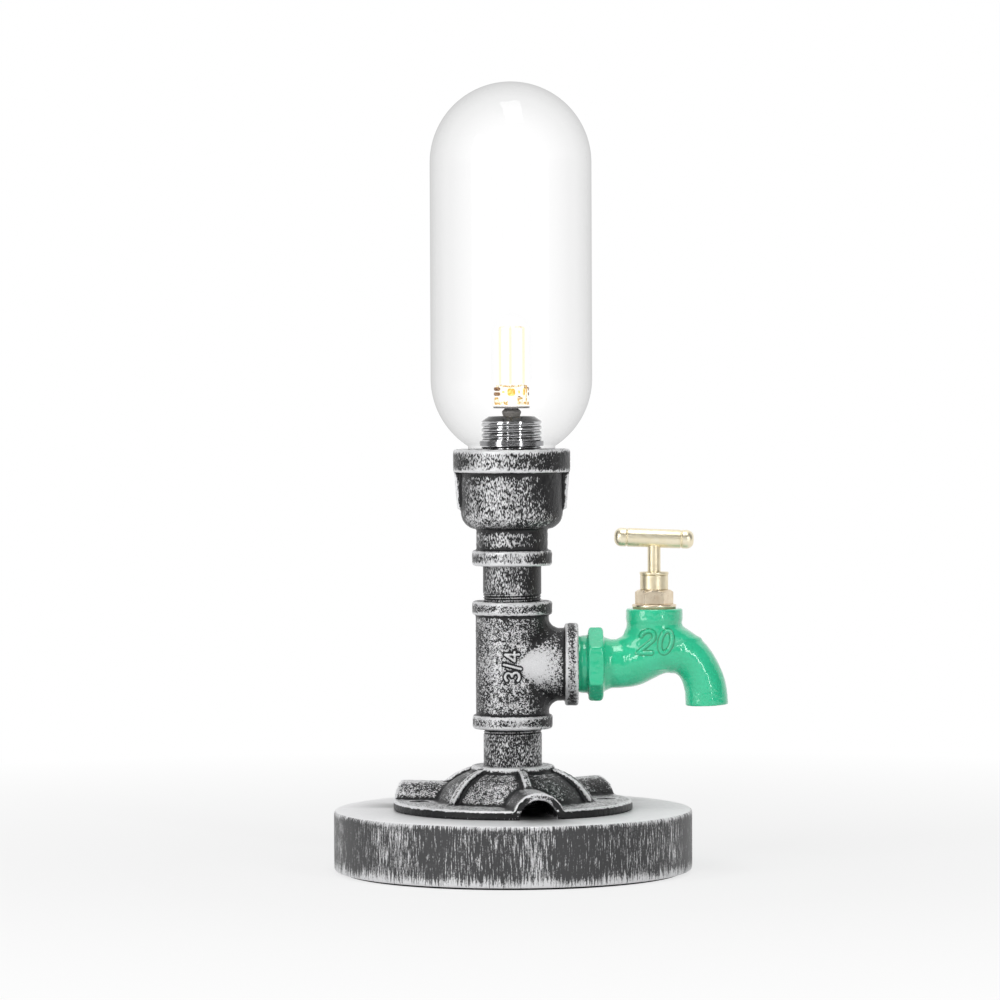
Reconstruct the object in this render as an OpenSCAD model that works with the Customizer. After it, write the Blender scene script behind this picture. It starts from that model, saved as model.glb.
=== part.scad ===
// Table lamp made of cast pipe fittings on a round wooden base, with a capsule glass and a bib tap.
// Z points up from the middle of the underside, the tap points along X and the front faces minus Y.

/* [Base] */
// Diameter of the wooden base
base_d = 150; // [136:1:180]
// Thickness of the wooden base
base_h = 25; // [23:0.5:36]
// Rounding of the edges of the wooden base
base_edge = 1.2; // [0.5:0.1:2.5]
// Diameter of the wiring recess in the underside
recess_d = 66; // [60:1:70]
// Depth of the wiring recess
recess_h = 15; // [14:0.5:17]
// Diameter of the wire hole through the middle of the base
wire_hole_d = 14; // [10:0.5:18]
// Thickness of the felt under the base
felt_h = 1; // [0.6:0.1:2]
// Distance from the edge of the felt to the edge of the base
felt_inset = 4; // [2:0.5:8]

/* [Cord inlet] */
// Bore of the inlet bush, where the cord enters
inlet_bore_d = 6.8; // [5:0.1:7.6]
// Outside diameter of the bush in the wood
inlet_sleeve_d = 9.6; // [8.6:0.1:10.4]
// Length of the bush in the wood
inlet_sleeve_l = 14; // [8:0.5:24]
// Diameter of the head of the bush
inlet_head_d = 13.4; // [12:0.1:15]
// Thickness of the head of the bush
inlet_head_t = 2; // [1.2:0.1:3]
// Height of the axis of the inlet above the underside
inlet_z = 9.5; // [8.5:0.25:11]

/* [Flange] */
// Diameter of the plate of the flange
flange_d = 100; // [92:1:110]
// Thickness of the plate
flange_t = 3.8; // [2.5:0.1:6]
// Height of the dome above the plate
dome_h = 14.7; // [13:0.1:20]
// Width of the flat rim of the plate around the dome
plate_rim_w = 18; // [16.5:0.1:19]
// Diameter of the collar on top of the dome
collar_d = 35; // [33.6:0.1:37]
// Height of that collar
collar_h = 3.2; // [2.4:0.1:4]
// How far the dome bulges beyond a straight cone
dome_bulge = 2.2; // [1:0.1:3.2]
// Wall of the dome
dome_wall = 3; // [2.4:0.1:4]
// Width of the ribs on the dome
rib_w = 3.2; // [1.6:0.1:4]
// Height of the ribs above the dome
rib_h = 2.4; // [1.4:0.1:3]
// Width of the cable arches
arch_bore_d = 16; // [12:0.5:18]
// Wall of the cable arches
arch_wall = 3.1; // [2.4:0.1:4]
// Direction of the front arch in degrees
arch_angle = -77.6; // [-90:0.2:-70]
// Distance from the wood screws to the edge of the plate
screw_inset = 10.5; // [8:0.1:10.5]
// Shank diameter of the wood screws
screw_d = 4; // [3:0.1:4.5]
// Length of the wood screws
screw_l = 13; // [10:0.5:13.5]

/* [Pipes] */
// Outside diameter of the nipples
pipe_d = 24.4; // [23.4:0.1:25.4]
// Wall of the nipples
pipe_wall = 2.4; // [2:0.1:3]
// Length of thread in each fitting
thread_l = 12; // [9:0.5:13]
// Length of the lower nipple in sight
lower_reach = 15.5; // [8:0.5:60]
// Length of the upper nipple in sight
upper_reach = 14.9; // [8:0.1:60]

/* [Tee] */
// Height of the tee
tee_h = 53.3; // [50:0.1:60]
// Diameter of the body of the tee
tee_d = 30.6; // [30:0.1:32]
// Diameter of the upper and lower bands
band_d = 33.4; // [32.6:0.1:36]
// Height of the upper and lower bands
band_h = 5.7; // [4:0.1:8]
// Distance from the pipe axis to the face of the branch
branch_reach = 27.5; // [27:0.1:34]
// Diameter of the band of the branch
branch_band_d = 34.5; // [33:0.1:37]
// Width of the band of the branch
branch_band_w = 5.6; // [4:0.1:7]
// Radius of the corners between body and branch
crotch_r = 5; // [2:0.1:6]

/* [Reducer] */
// Height of the lower band of the reducer
red_band_h = 6.4; // [4:0.1:8]
// Diameter of the neck of the reducer
red_neck_d = 29.8; // [29:0.1:32]
// Height of the neck of the reducer
red_neck_h = 8.9; // [7:0.1:14]
// Height of the rounded shoulder of the bell
red_bowl_h = 7; // [5:0.1:9]
// Diameter of the bell
red_bell_d = 42.6; // [42:0.1:46]
// Height of the straight side of the bell
red_side_h = 16.7; // [15:0.1:24]
// Diameter of the rim
red_rim_d = 48.9; // [47.5:0.1:52]
// Height of the rim
red_rim_h = 9.6; // [9:0.1:12]
// Bore of the bell
cup_d = 36; // [35.5:0.1:36.4]
// Bore of the mouth, where the glass sits
mouth_d = 41; // [40.6:0.1:42]
// Depth of the mouth
mouth_depth = 9.3; // [8:0.1:11]

/* [Lampholder] */
// Outside diameter of the threaded shell
shell_d = 25.2; // [24:0.1:26]
// Height of the shell up to its bevel
shell_h = 26.4; // [24:0.1:32]
// Height of the bevel at the top of the shell
shell_bevel_h = 2.1; // [1:0.1:3]
// Diameter at the top of the bevel
shell_top_d = 19.2; // [18.6:0.1:21]
// Wall of the shell
shell_wall = 1.3; // [1:0.1:1.8]
// Height of the locking ring above the foot of the shell
ring_rise = 16.2; // [10:0.1:18]
// Diameter of the locking ring
ring_d = 26.8; // [26.4:0.1:30]
// Height of the locking ring
ring_h = 2; // [1.2:0.1:3]
// Outside diameter of the threaded tube
tube_d = 10; // [9:0.1:10.6]
// Bore of the threaded tube
tube_bore_d = 7.6; // [7:0.1:8]
// Distance between the two contacts
pin_pitch = 4; // [3.6:0.1:4.4]

/* [Glass] */
// Outside diameter of the glass
glass_d = 67.5; // [60:0.5:76]
// Height of the glass with its neck
glass_h = 160.4; // [150:0.1:200]
// Wall of the glass
glass_wall = 1.8; // [1.4:0.1:2.2]
// Outside diameter of the neck of the glass
neck_d = 36.5; // [36:0.1:37]
// Height of the neck of the glass
neck_h = 8.4; // [6:0.1:12]
// Thickness of the rubber ring under the glass
seal_t = 2; // [1:0.1:2.5]

/* [Bulb] */
// Diameter of the clear envelope
bulb_d = 16.6; // [15.6:0.1:18]
// Height of the envelope
bulb_h = 39.5; // [38.5:0.1:42]
// Diameter of the plug
plug_d = 8; // [7:0.1:9]
// Height of the plug
plug_h = 3.4; // [2.5:0.1:5]
// Distance between the two boards
board_gap = 7; // [5:0.1:8]
// Length of the light sticks
stick_l = 24.3; // [16:0.1:25]
// Radius of the circle on which the sticks stand
stick_circle_r = 5.7; // [4:0.1:6]
// Diameter of the sticks
stick_d = 1.7; // [1:0.1:2]

/* [Tap] */
// Length of the tap's thread in sight between the tee and the hexagon
tap_gap = 4.1; // [2:0.1:6]
// Width of the hexagon across its flats
tap_hex_af = 27; // [26:0.1:30]
// Length of the hexagon along the tap
tap_hex_w = 6.4; // [5:0.1:9]
// Diameter of the neck behind the hexagon
tap_neck_d = 20.7; // [20:0.1:22]
// Distance from the hexagon to the middle of the spout
tap_reach = 43.9; // [42:0.1:50]
// Distance from the hexagon to the spindle
tap_boss_x = 21.4; // [20.6:0.1:22.4]
// Height of the top of the boss above the tap's axis
tap_rise = 23.35; // [23:0.05:26]
// Diameter of the boss
tap_boss_d = 23.8; // [23.4:0.1:25]
// Depth of the outlet below the tap's axis
tap_drop = 17.3; // [16:0.1:24]
// Diameter of the spout at the outlet
spout_d = 16.8; // [16:0.1:18]
// Bore of the waterway
water_d = 10; // [8:0.1:10.4]

/* [Tap spindle] */
// Width of the bonnet's hexagon across its flats
bonnet_af = 13.9; // [13.4:0.1:15]
// Height of the bonnet's hexagon
bonnet_hex_h = 6.1; // [5.4:0.1:8]
// Diameter of the bonnet's flange
bonnet_flange_d = 18.5; // [18:0.1:20]
// Diameter of the gland nut
gland_d = 11.7; // [11.4:0.1:13]
// Height of the gland nut
gland_h = 6.3; // [5.8:0.1:8]
// Diameter of the spindle in sight
spindle_d = 5.4; // [4.8:0.1:5.6]
// Length of the spindle in sight
spindle_reach = 10.2; // [7:0.1:18]
// Diameter of the handle bar
bar_d = 7.8; // [7:0.1:9]
// Length of the handle bar
bar_l = 33.2; // [26:0.1:44]
// Rise of the spindle for each turn
thread_pitch = 2.4; // [1.5:0.1:2.4]

/* [Hidden] */
$fn = 96;

// Clearances and the overrun of every cut
screw_fit = 0.05;    // radial clearance of parts that screw or slide into each other
loose_fit = 0.3;     // clearance of parts that lift off
face_gap = 0.2;      // gap under a piece that rests on another body
over = 1;            // how far a cut runs past a face

// Levels of the stack, from the table upwards
base_z1 = felt_h + base_h;
plate_z1 = base_z1 + flange_t;
dome_z1 = plate_z1 + dome_h;
tee_z0 = dome_z1 + lower_reach;
tee_z1 = tee_z0 + tee_h;
branch_z = tee_z0 + tee_h / 2;
red_z0 = tee_z1 + upper_reach;
red_neck_z0 = red_z0 + red_band_h;
red_bowl_z0 = red_neck_z0 + red_neck_h;
cup_z0 = red_bowl_z0 + red_bowl_h;
red_rim_z0 = cup_z0 + red_side_h;
red_z1 = red_rim_z0 + red_rim_h;
mouth_z0 = red_z1 - mouth_depth;
glass_z0 = mouth_z0 + seal_t + face_gap;
glass_z1 = glass_z0 + glass_h;
glass_r = glass_d / 2;
neck_r = neck_d / 2;
pipe_r = pipe_d / 2;
way_r = pipe_r - pipe_wall;

glass_steps = 20;    // steps in each round end of the glass

// Depth of the flat for the bush's head in the round side of the base
inlet_spot = base_d / 2 - sqrt(pow(base_d / 2, 2) - pow(inlet_head_d / 2, 2)) + screw_fit;

// Small sizes of the cast fittings
band_edge = 0.9;     // rounding of the bands
edge_steps = 4;      // steps in a small rounding
plate_edge = 0.6;    // rounding of the plate of the flange
hub_wall = 3.6;      // wall of the flange's threaded hub
hub_floor = 2.4;     // distance from the hub's foot to the wood
rib_foot = 1.5;      // how far the ribs sink into the dome
rib_run_share = 1.5; // reach of a rib's foot along the plate, as a share of its height
collar_lip = 0.5;    // how far the collar stands out over the top of the dome
arch_foot_r = 2;     // rounding at the feet of the cable arches
arch_sink_share = 0.92; // how far that rounding stands out of the arch and the plate
arch_setback = 1;    // distance from the arches' mouths to the edge of the plate
arch_count = 3;
rib_count = 6;
screw_count = 2;
screw_angle = 187;   // direction of the first wood screw
screw_head_d = 2 * screw_d;
screw_circle_r = flange_d / 2 - screw_inset;
dome_foot_d = flange_d - 2 * plate_rim_w;
red_rib_w = 4.2;     // width of the ribs on the bell
red_rib_low = 1.5;   // height of those ribs at their foot
red_rib_high = 2.8;  // height of those ribs under the rim
bowl_steps = 8;
tee_slices = 16;
tee_tip_angle = 86;  // where the slices of the tee end, short of the tips of its round body
crotch_inset = 0.1;  // how far the slices lie inside the branch, and the branch inside the body
dome_steps = 8;

// Small sizes of the lampholder
disc_t = 2;
nut_af = 14;
nut_h = 4;
tube_tail = 6;       // length of the tube below the cup's floor
shell_gap = 5.5;     // distance from the upper nut to the shell
shell_floor = 2;
shell_z0 = cup_z0 + disc_t + nut_h + shell_gap;
shell_z1 = shell_z0 + shell_h;
shell_top_z = shell_z1 + shell_bevel_h;
insert_lip = 0.3;    // depth of the ceramic below the shell's top
insert_foot_h = 14;  // height of the wide foot of the ceramic
insert_top_z = shell_top_z - insert_lip;
insert_z0 = shell_z0 + shell_floor + face_gap;
contact_d = 2.6;
contact_h = 13;
contact_z1 = insert_top_z - over;
contact_z0 = contact_z1 - contact_h;
pin_d = 0.75;
pin_h = 9;
pin_fit = 0.1;

// Small sizes of the bulb
plug_z0 = insert_top_z + loose_fit;
plug_flange_h = 0.8;
plug_z1 = plug_z0 + plug_h;
board_t = 1;
// Outline of the plug from its foot up, as shares of its radius and of its height
plug_shares = [[0.86, 0], [1, 0.4], [1, 0.62], [0.68, 1]];
board_z0 = plug_z1 + plug_flange_h;
board2_z0 = board_z0 + board_t + board_gap;
stick_z0 = board2_z0 + board_t;
bulb_wall = 0.7;
bulb_z0 = plug_z1;
board_r = bulb_d / 2 - bulb_wall - screw_fit;
stick_count = 3;
stick_angle = 26;
// Blocks between the two boards: each one's distance from the middle as a share of the board's radius, its
// direction in degrees, and its size as a share of that radius
block_shares = [[0.68, 180, 0.42], [0.12, -90, 0.46], [0.6, -8, 0.4], [0.6, 95, 0.44]];

// Wiring in the base and the pipes
wire_d = 1.8;
block_l = 18;
block_w = 16;
block_h = 10;
block_x0 = -28;
pole_pitch = 8;
block_bore_d = 3.2;
block_screw_d = 3;
block_screw_l = 3.8;
block_screw_inset = 5;
block_z1 = felt_h + recess_h;
wire_z = block_z1 - block_h / 2;
wire_bend_r = 7;
wire_y = 1.5;
wire_sides = 8;
bend_steps = 6;

// The tap along its axis and its levels
hex_x0 = branch_reach + tap_gap;
hex_x1 = hex_x0 + tap_hex_w;
boss_x = hex_x1 + tap_boss_x;
boss_z1 = branch_z + tap_rise;
boss_r = tap_boss_d / 2;
tap_neck_r = tap_neck_d / 2;
boss_ring_h = 5.5;
boss_step = 0.35;
hex_chamfer = 1.2;
seat_depth = 15;     // depth of the valve seat below the top of the boss
seat_z = boss_z1 - seat_depth;
chamber_r = 7.4;
bonnet_thread_r = 7.6;
bonnet_thread_h = 7;
seat_bore_r = 4.6;
inlet_way_r = 5.4;
ring_sides = 28;

// Sections of the tap's body from the hexagon to the outlet. Each has its place along the reach, its height
// as a share of the drop, its slope in degrees, and its half height and half width as shares of the neck's
// radius, or of the spout's from the bend on.
neck_shares = [
    [-0.034, 0, 0, 1.19, 1.19], [0.034, 0, 0, 1.063, 1.063], [0.08, 0.01, 0, 1, 1],
    [0.182, 0.02, 0, 0.995, 0.995], [0.296, 0.078, 12, 1.005, 1.05], [0.433, 0.205, 14, 0.947, 1.1],
    [0.574, 0.303, 5, 0.889, 1.08], [0.697, 0.315, -12, 0.937, 1.025]
];
spout_shares = [
    [0.79, 0.228, -27, 1.095, 1.18], [0.886, -0.032, -47, 1.036, 1.11], [0.959, -0.442, -70, 1.042, 1.06],
    [0.981, -0.76, -83, 1.06, 1.05], [0.9863, -1, -88, 1.0714, 1.05]
];
// Sections of the boss, from inside the body to the ring. Each has its place along the reach, its height as
// a share of the rise, and its half length and half width as shares of the boss's radius.
boss_shares = [
    [0.444, -0.092, 0.84, 0.8], [0.508, 0.272, 1.387, 0.94], [0.535, 0.4347, 1.504, 0.958],
    [0.538, 0.5075, 1.311, 0.962], [0.516, 0.593, 1.155, 0.966], [0.492, 0.679, 1, 0.966],
    [0.4875, 0.7645, 0.97, 0.97]
];
// Corners of the waterway from the chamber to the outlet, as shares of the reach and of the drop
water_shares = [[0.6, 0.62], [0.82, 0.3], [0.955, -0.3], [0.986, -1.1]];
// Radius of the round elbows between them, as a share of the waterway's
elbow_share = 1.06;

// Small sizes of the spindle and its seals
gasket_t = 0.6;
gasket_inset = 0.25;
gasket_r = bonnet_flange_d / 2 - gasket_inset;
flange_step_h = 1;
bonnet_z0 = boss_z1 + gasket_t;
bonnet_hex_z0 = bonnet_z0 + flange_step_h;
bonnet_hex_z1 = bonnet_hex_z0 + bonnet_hex_h;
gland_z1 = bonnet_hex_z1 + gland_h;
gland_collar_h = 1.2;
gland_lip = 0.2;     // how far the gland's collar stands out over its cylinder
gland_edge = 0.33;   // rounding of the gland's edges, which leaves a groove under the collar
gland_roof = 1.3;
stuffing_r = 3.9;
stuffing_wall = 1;
spindle_r = spindle_d / 2;
spindle_thread_r = 4.5;
turns_open = 1.25;
valve_lift = turns_open * thread_pitch;
stop_gap = 0.4;      // spare lift above the open position
jumper_plate_r = 7;
jumper_plate_h = 1.6;
washer_r = 6.4;
washer_h = 2.4;
jumper_stem_r = 1.95;
jumper_tail_r = 1.5;
washer_nut_af = 5.4;
washer_nut_h = 2;
washer_z0 = seat_z + face_gap;
plate_z0 = washer_z0 + washer_h;
spindle_z0 = plate_z0 + jumper_plate_h + face_gap;
thread_top_z = bonnet_hex_z1 - spindle_r;
spindle_thread_z1 = thread_top_z - valve_lift - stop_gap;
jumper_stem_h = 7;
bar_z = gland_z1 + gland_collar_h + spindle_reach + bar_d / 2;
bar_socket = 4.6;
bar_groove_x = 11.4;
bar_groove_w = 0.6;
bar_groove_t = 0.25;
bar_end_r = 2.6;

// Points of an arc around [x, y] in the plane of a profile
function arc(x, y, r, a0, a1, steps) =
    [for (i = [0:steps]) let (a = a0 + (a1 - a0) * i / steps) [x + r * cos(a), y + r * sin(a)]];

// Half profile of a bar from y0 to y1 with rounded outer edges
function bar_profile(r, y0, y1, edge) = concat(
    [[0, y0]], arc(r - edge, y0 + edge, edge, -90, 0, edge_steps),
    arc(r - edge, y1 - edge, edge, 0, 90, edge_steps), [[0, y1]]);

// Curve of the dome between two points of its profile, bulging outwards
function dome_curve(p0, p1, bulge) = [
    for (i = [0:dome_steps])
        let (t = i / dome_steps, d = p1 - p0, n = [d[1], -d[0]] / norm(d), k = 4 * bulge * t * (1 - t))
        p0 + d * t + n * k];

// One elliptic ring of a body that is lofted in the plane of X and Z
function loft_ring(x, z, slope, half, width) = [
    for (j = [0:ring_sides - 1]) let (a = 360 * j / ring_sides)
        [x - half * cos(a) * sin(slope), width * sin(a), z + half * cos(a) * cos(slope)]];

// Middle of a ring of points
function middle(ring) = [for (p = ring) 1] * ring / len(ring);

// Closed skin over rings with as many points each. Each end is closed by a fan from a point inside its ring.
module skin(rings, end_points) {
    n = len(rings[0]);
    m = len(rings);
    top = (m - 1) * n;
    sides = [for (i = [0:m - 2], j = [0:n - 1])
        let (a = i * n + j, b = i * n + (j + 1) % n) each [[a, b, b + n], [a, b + n, a + n]]];
    first = [for (j = [0:n - 1]) [m * n, (j + 1) % n, j]];
    last = [for (j = [0:n - 1]) [m * n + 1, top + j, top + (j + 1) % n]];
    ends = is_undef(end_points) ? [middle(rings[0]), middle(rings[m - 1])] : end_points;
    polyhedron([for (r = concat(rings, [ends])) each r], concat(sides, first, last), convexity = 6);
}

module pipe(r_out, r_in, z0, z1) {
    translate([0, 0, z0]) difference() {
        cylinder(r = r_out, h = z1 - z0);
        translate([0, 0, -over]) cylinder(r = r_in, h = z1 - z0 + 2 * over);
    }
}

module hex_prism(af, h) {
    cylinder(d = af / cos(30), h = h, $fn = 6);
}

// Turns a shape that stands on Z so that it points along X
module along_x(x, z) {
    translate([x, 0, z]) rotate([0, 90, 0]) children();
}

module felt_pad() {
    color([0.06, 0.06, 0.065]) cylinder(r = base_d / 2 - felt_inset, h = felt_h);
}

module base_disc() {
    color([0.3, 0.3, 0.31]) difference() {
        rotate_extrude() polygon(bar_profile(base_d / 2, felt_h, base_z1, base_edge));
        translate([0, 0, felt_h - over]) cylinder(d = recess_d, h = recess_h + over);
        cylinder(d = wire_hole_d, h = base_z1 + over);
        inlet_place() {
            translate([0, 0, -base_d / 2 + recess_d / 4])
                cylinder(d = inlet_sleeve_d + 2 * screw_fit, h = base_d / 2);
            translate([0, 0, -inlet_spot]) cylinder(d = inlet_head_d + over, h = inlet_spot + over);
        }
        screw_places() translate([0, 0, -screw_l])
            cylinder(d = screw_d + 2 * screw_fit, h = screw_l + over);
    }
}

// The cord inlet lies at the back, with its local Z pointing outwards
module inlet_place() {
    translate([0, base_d / 2, inlet_z]) rotate([-90, 0, 0]) children();
}

module inlet_bush() {
    color([0.05, 0.05, 0.05]) inlet_place() difference() {
        union() {
            translate([0, 0, -inlet_spot - inlet_sleeve_l])
                cylinder(d = inlet_sleeve_d, h = inlet_sleeve_l + over / 2);
            translate([0, 0, -inlet_spot]) rotate_extrude()
                polygon(bar_profile(inlet_head_d / 2, 0, inlet_head_t, inlet_head_t / 4));
        }
        translate([0, 0, -base_d / 2]) cylinder(d = inlet_bore_d, h = base_d);
    }
}

module pole_places() {
    for (s = [-1, 1]) translate([0, s * pole_pitch / 2, 0]) children();
}

module terminal_block() {
    color([0.9, 0.9, 0.88]) difference() {
        translate([block_x0, -block_w / 2, block_z1 - block_h]) cube([block_l, block_w, block_h]);
        pole_places() {
            along_x(block_x0 - over, wire_z) cylinder(d = block_bore_d, h = block_l + 2 * over);
            for (x = [block_screw_inset, block_l - block_screw_inset])
                translate([block_x0 + x, 0, block_z1 - block_h - over])
                    cylinder(d = block_screw_d + 2 * screw_fit, h = block_h / 2 + over);
        }
    }
}

module terminal_screws() {
    color([0.75, 0.62, 0.3]) pole_places() for (x = [block_screw_inset, block_l - block_screw_inset])
        translate([block_x0 + x, 0, block_z1 - block_h]) cylinder(d = block_screw_d, h = block_screw_l);
}

// A wire from the terminal block, round a bend and up the pipes to its contact
function wire_route(side) = let (bend_x = -wire_bend_r, y0 = side * pole_pitch / 2) concat(
    [[block_x0 + block_l - block_screw_inset, y0, wire_z], [block_x0 + block_l, y0, wire_z]],
    [for (i = [0:bend_steps]) let (a = 90 * i / bend_steps, t = i / bend_steps)
        [bend_x + wire_bend_r * sin(a), side * (pole_pitch / 2 * (1 - t) + wire_y * t),
         wire_z + wire_bend_r * (1 - cos(a))]],
    [[0, side * wire_y, cup_z0], [0, side * wire_y, shell_z0],
     [0, side * pin_pitch / 2, insert_z0 + wire_d], [0, side * pin_pitch / 2, contact_z0]]);

function unit(v) = v / norm(v);

module wire(route) {
    n = len(route);
    rings = [for (i = [0:n - 1])
        let (t = unit(route[min(i + 1, n - 1)] - route[max(i - 1, 0)]))
        let (s = unit(cross(t, [0, 1, 0])), u = cross(s, t))
        [for (j = [0:wire_sides - 1]) let (a = -360 * j / wire_sides)
            route[i] + wire_d / 2 * (s * cos(a) + u * sin(a))]];
    skin(rings);
}

module live_wire() {
    color([0.35, 0.2, 0.12]) wire(wire_route(1));
}

module neutral_wire() {
    color([0.2, 0.3, 0.6]) wire(wire_route(-1));
}

module screw_places() {
    for (i = [0:screw_count - 1]) rotate([0, 0, screw_angle + 360 * i / screw_count])
        translate([screw_circle_r, 0, plate_z1]) children();
}

module countersunk(r_head, r_shank, length, head_h) {
    rotate_extrude() polygon([
        [0, 0], [r_head, 0], [r_shank, -head_h], [r_shank, -length + r_shank], [0, -length]]);
}

// Outline across a cable arch, from inside the plate upwards, with feet that round into the plate
module arch_outline() {
    r = arch_bore_d / 2 + arch_wall;
    sunk_r = arch_sink_share * arch_foot_r;
    foot_y = flange_t + sunk_r;
    foot_x = sqrt(pow(r, 2) - pow(foot_y, 2)) + sunk_r;
    intersection() {
        circle(r = r);
        translate([-r - over, flange_t / 2]) square([2 * (r + over), r + over]);
    }
    for (s = [-1, 1]) polygon([
        for (p = concat([[0, flange_t / 2], [0, foot_y]],
            arc(foot_x, foot_y, arch_foot_r, 180, 270, edge_steps), [[foot_x, flange_t / 2]]))
            [s * p[0], p[1]]]);
}

module arch_places() {
    for (i = [0:arch_count - 1]) rotate([0, 0, arch_angle + 360 * i / arch_count])
        translate([0, 0, base_z1]) rotate([90, 0, 90]) children();
}

module flange() {
    foot_r = dome_foot_d / 2;
    collar_r = collar_d / 2;
    collar_z0 = dome_z1 - collar_h;
    top_r = collar_r - collar_lip;
    hub_r = pipe_r + hub_wall;
    outside = dome_curve([foot_r, plate_z1], [top_r, collar_z0 + band_edge], dome_bulge);
    inside = dome_curve([foot_r - dome_wall, base_z1], [hub_r, collar_z0 - dome_wall], dome_bulge);
    rib_line = dome_curve([foot_r + rib_run_share * rib_h, plate_z1 - over / 2],
        [collar_r - rib_foot, dome_z1 - rib_foot / 3], dome_bulge + rib_h / 3);
    rib_low = dome_curve([foot_r - rib_foot, plate_z1 - over],
        [top_r - 2 * rib_foot, collar_z0 - rib_foot / 3], dome_bulge);
    color([0.34, 0.34, 0.35]) difference() {
        union() {
            rotate_extrude() polygon(bar_profile(flange_d / 2, base_z1, plate_z1, plate_edge));
            rotate_extrude() polygon(concat(
                [[0, plate_z1 - over], [foot_r, plate_z1 - over]], outside, [[0, dome_z1 - over]]));
            band(collar_r, collar_z0, dome_z1);
            arch_places() linear_extrude(flange_d / 2 - arch_setback) arch_outline();
            for (i = [0:rib_count - 1]) rotate([90, 0, arch_angle + 360 * i / rib_count])
                linear_extrude(rib_w, center = true)
                    polygon(concat(rib_line, [for (k = [dome_steps:-1:0]) rib_low[k]]));
        }
        rotate_extrude() polygon(concat(
            [[hub_r, base_z1 - over], [foot_r - dome_wall, base_z1 - over]], inside));
        translate([0, 0, base_z1 - over]) cylinder(r = hub_r + over / 2, h = hub_floor + over);
        arch_places() translate([0, 0, hub_r + over]) rotate([0, 0, -90])
            cylinder(d = arch_bore_d, h = flange_d);
        translate([0, 0, base_z1]) cylinder(r = way_r, h = dome_z1);
        translate([0, 0, dome_z1 - thread_l]) cylinder(r = pipe_r + screw_fit, h = thread_l + over);
        screw_places() {
            translate([0, 0, -flange_t - over]) cylinder(d = screw_d + loose_fit, h = flange_t + 2 * over);
            countersink(over);
        }
    }
}

// Cone of a screw's head in the plate, with room around it
module countersink(above) {
    head_r = screw_head_d / 2;
    rotate_extrude() polygon([
        [0, above], [head_r + loose_fit, above], [head_r + loose_fit, 0],
        [screw_d / 2 + loose_fit, -head_r + screw_d / 2], [0, -head_r + screw_d / 2]]);
}

module flange_screws() {
    head_h = screw_head_d / 2 - screw_d / 2;
    slot_w = screw_d / 5;
    color([0.2, 0.2, 0.21]) screw_places() translate([0, 0, -screw_fit]) difference() {
        countersunk(screw_head_d / 2, screw_d / 2, screw_l, head_h);
        for (a = [0, 90]) rotate([0, 0, a]) translate([-screw_d / 2, -slot_w / 2, -head_h / 2])
            cube([screw_d, slot_w, head_h]);
    }
}

module lower_nipple() {
    color([0.36, 0.36, 0.37]) pipe(pipe_r, way_r, dome_z1 - thread_l, tee_z0 + thread_l);
}

module band(r, z0, z1) {
    rotate_extrude() polygon(bar_profile(r, z0, z1, band_edge));
}

// Slice of the tee parallel to X and Z, where its body and branch are w wide on each side of their axes
function tee_slice(y, w, crotch, x1, z0, z1) = [
    for (p = concat(
        [[-w, z0], [w, z0]],
        arc(w + crotch, branch_z - w - crotch, crotch, 180, 90, edge_steps),
        [[x1, branch_z - w], [x1, branch_z + w]],
        arc(w + crotch, branch_z + w + crotch, crotch, 270, 180, edge_steps),
        [[w, z1], [-w, z1]])) [p[0], y, p[1]]];

// The body and the branch are round, and a core of slices just inside them rounds the corners between them
module tee() {
    body_r = tee_d / 2;
    branch_r = body_r - crotch_inset;
    r = branch_r - crotch_inset;
    x1 = branch_reach - branch_band_w / 2;
    z0 = tee_z0 + band_h / 2;
    z1 = tee_z1 - band_h / 2;
    color([0.36, 0.36, 0.37]) difference() {
        union() {
            translate([0, 0, z0]) cylinder(r = body_r, h = z1 - z0);
            along_x(0, branch_z) cylinder(r = branch_r, h = x1);
            skin(
                [for (i = [0:tee_slices]) let (a = tee_tip_angle * (2 * i / tee_slices - 1)) tee_slice(
                    r * sin(a), r * cos(a), crotch_r * cos(a), x1 - over / 2, z0 + over / 2, z1 - over / 2)],
                [for (i = [-1, 1]) [0, i * r * sin(tee_tip_angle), branch_z]]);
            band(band_d / 2, tee_z0, tee_z0 + band_h);
            band(band_d / 2, tee_z1 - band_h, tee_z1);
            along_x(0, branch_z) band(branch_band_d / 2, branch_reach - branch_band_w, branch_reach);
        }
        translate([0, 0, tee_z0 - over]) cylinder(r = way_r, h = tee_h + 2 * over);
        translate([0, 0, tee_z0 - over]) cylinder(r = pipe_r + screw_fit, h = thread_l + over);
        translate([0, 0, tee_z1 - thread_l]) cylinder(r = pipe_r + screw_fit, h = thread_l + over);
        along_x(0, branch_z) cylinder(r = way_r, h = branch_reach + over);
        along_x(branch_reach - thread_l, branch_z) cylinder(r = pipe_r + screw_fit, h = thread_l + over);
    }
}

module upper_nipple() {
    color([0.36, 0.36, 0.37]) pipe(pipe_r, way_r, tee_z1 - thread_l, red_z0 + thread_l);
}

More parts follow.
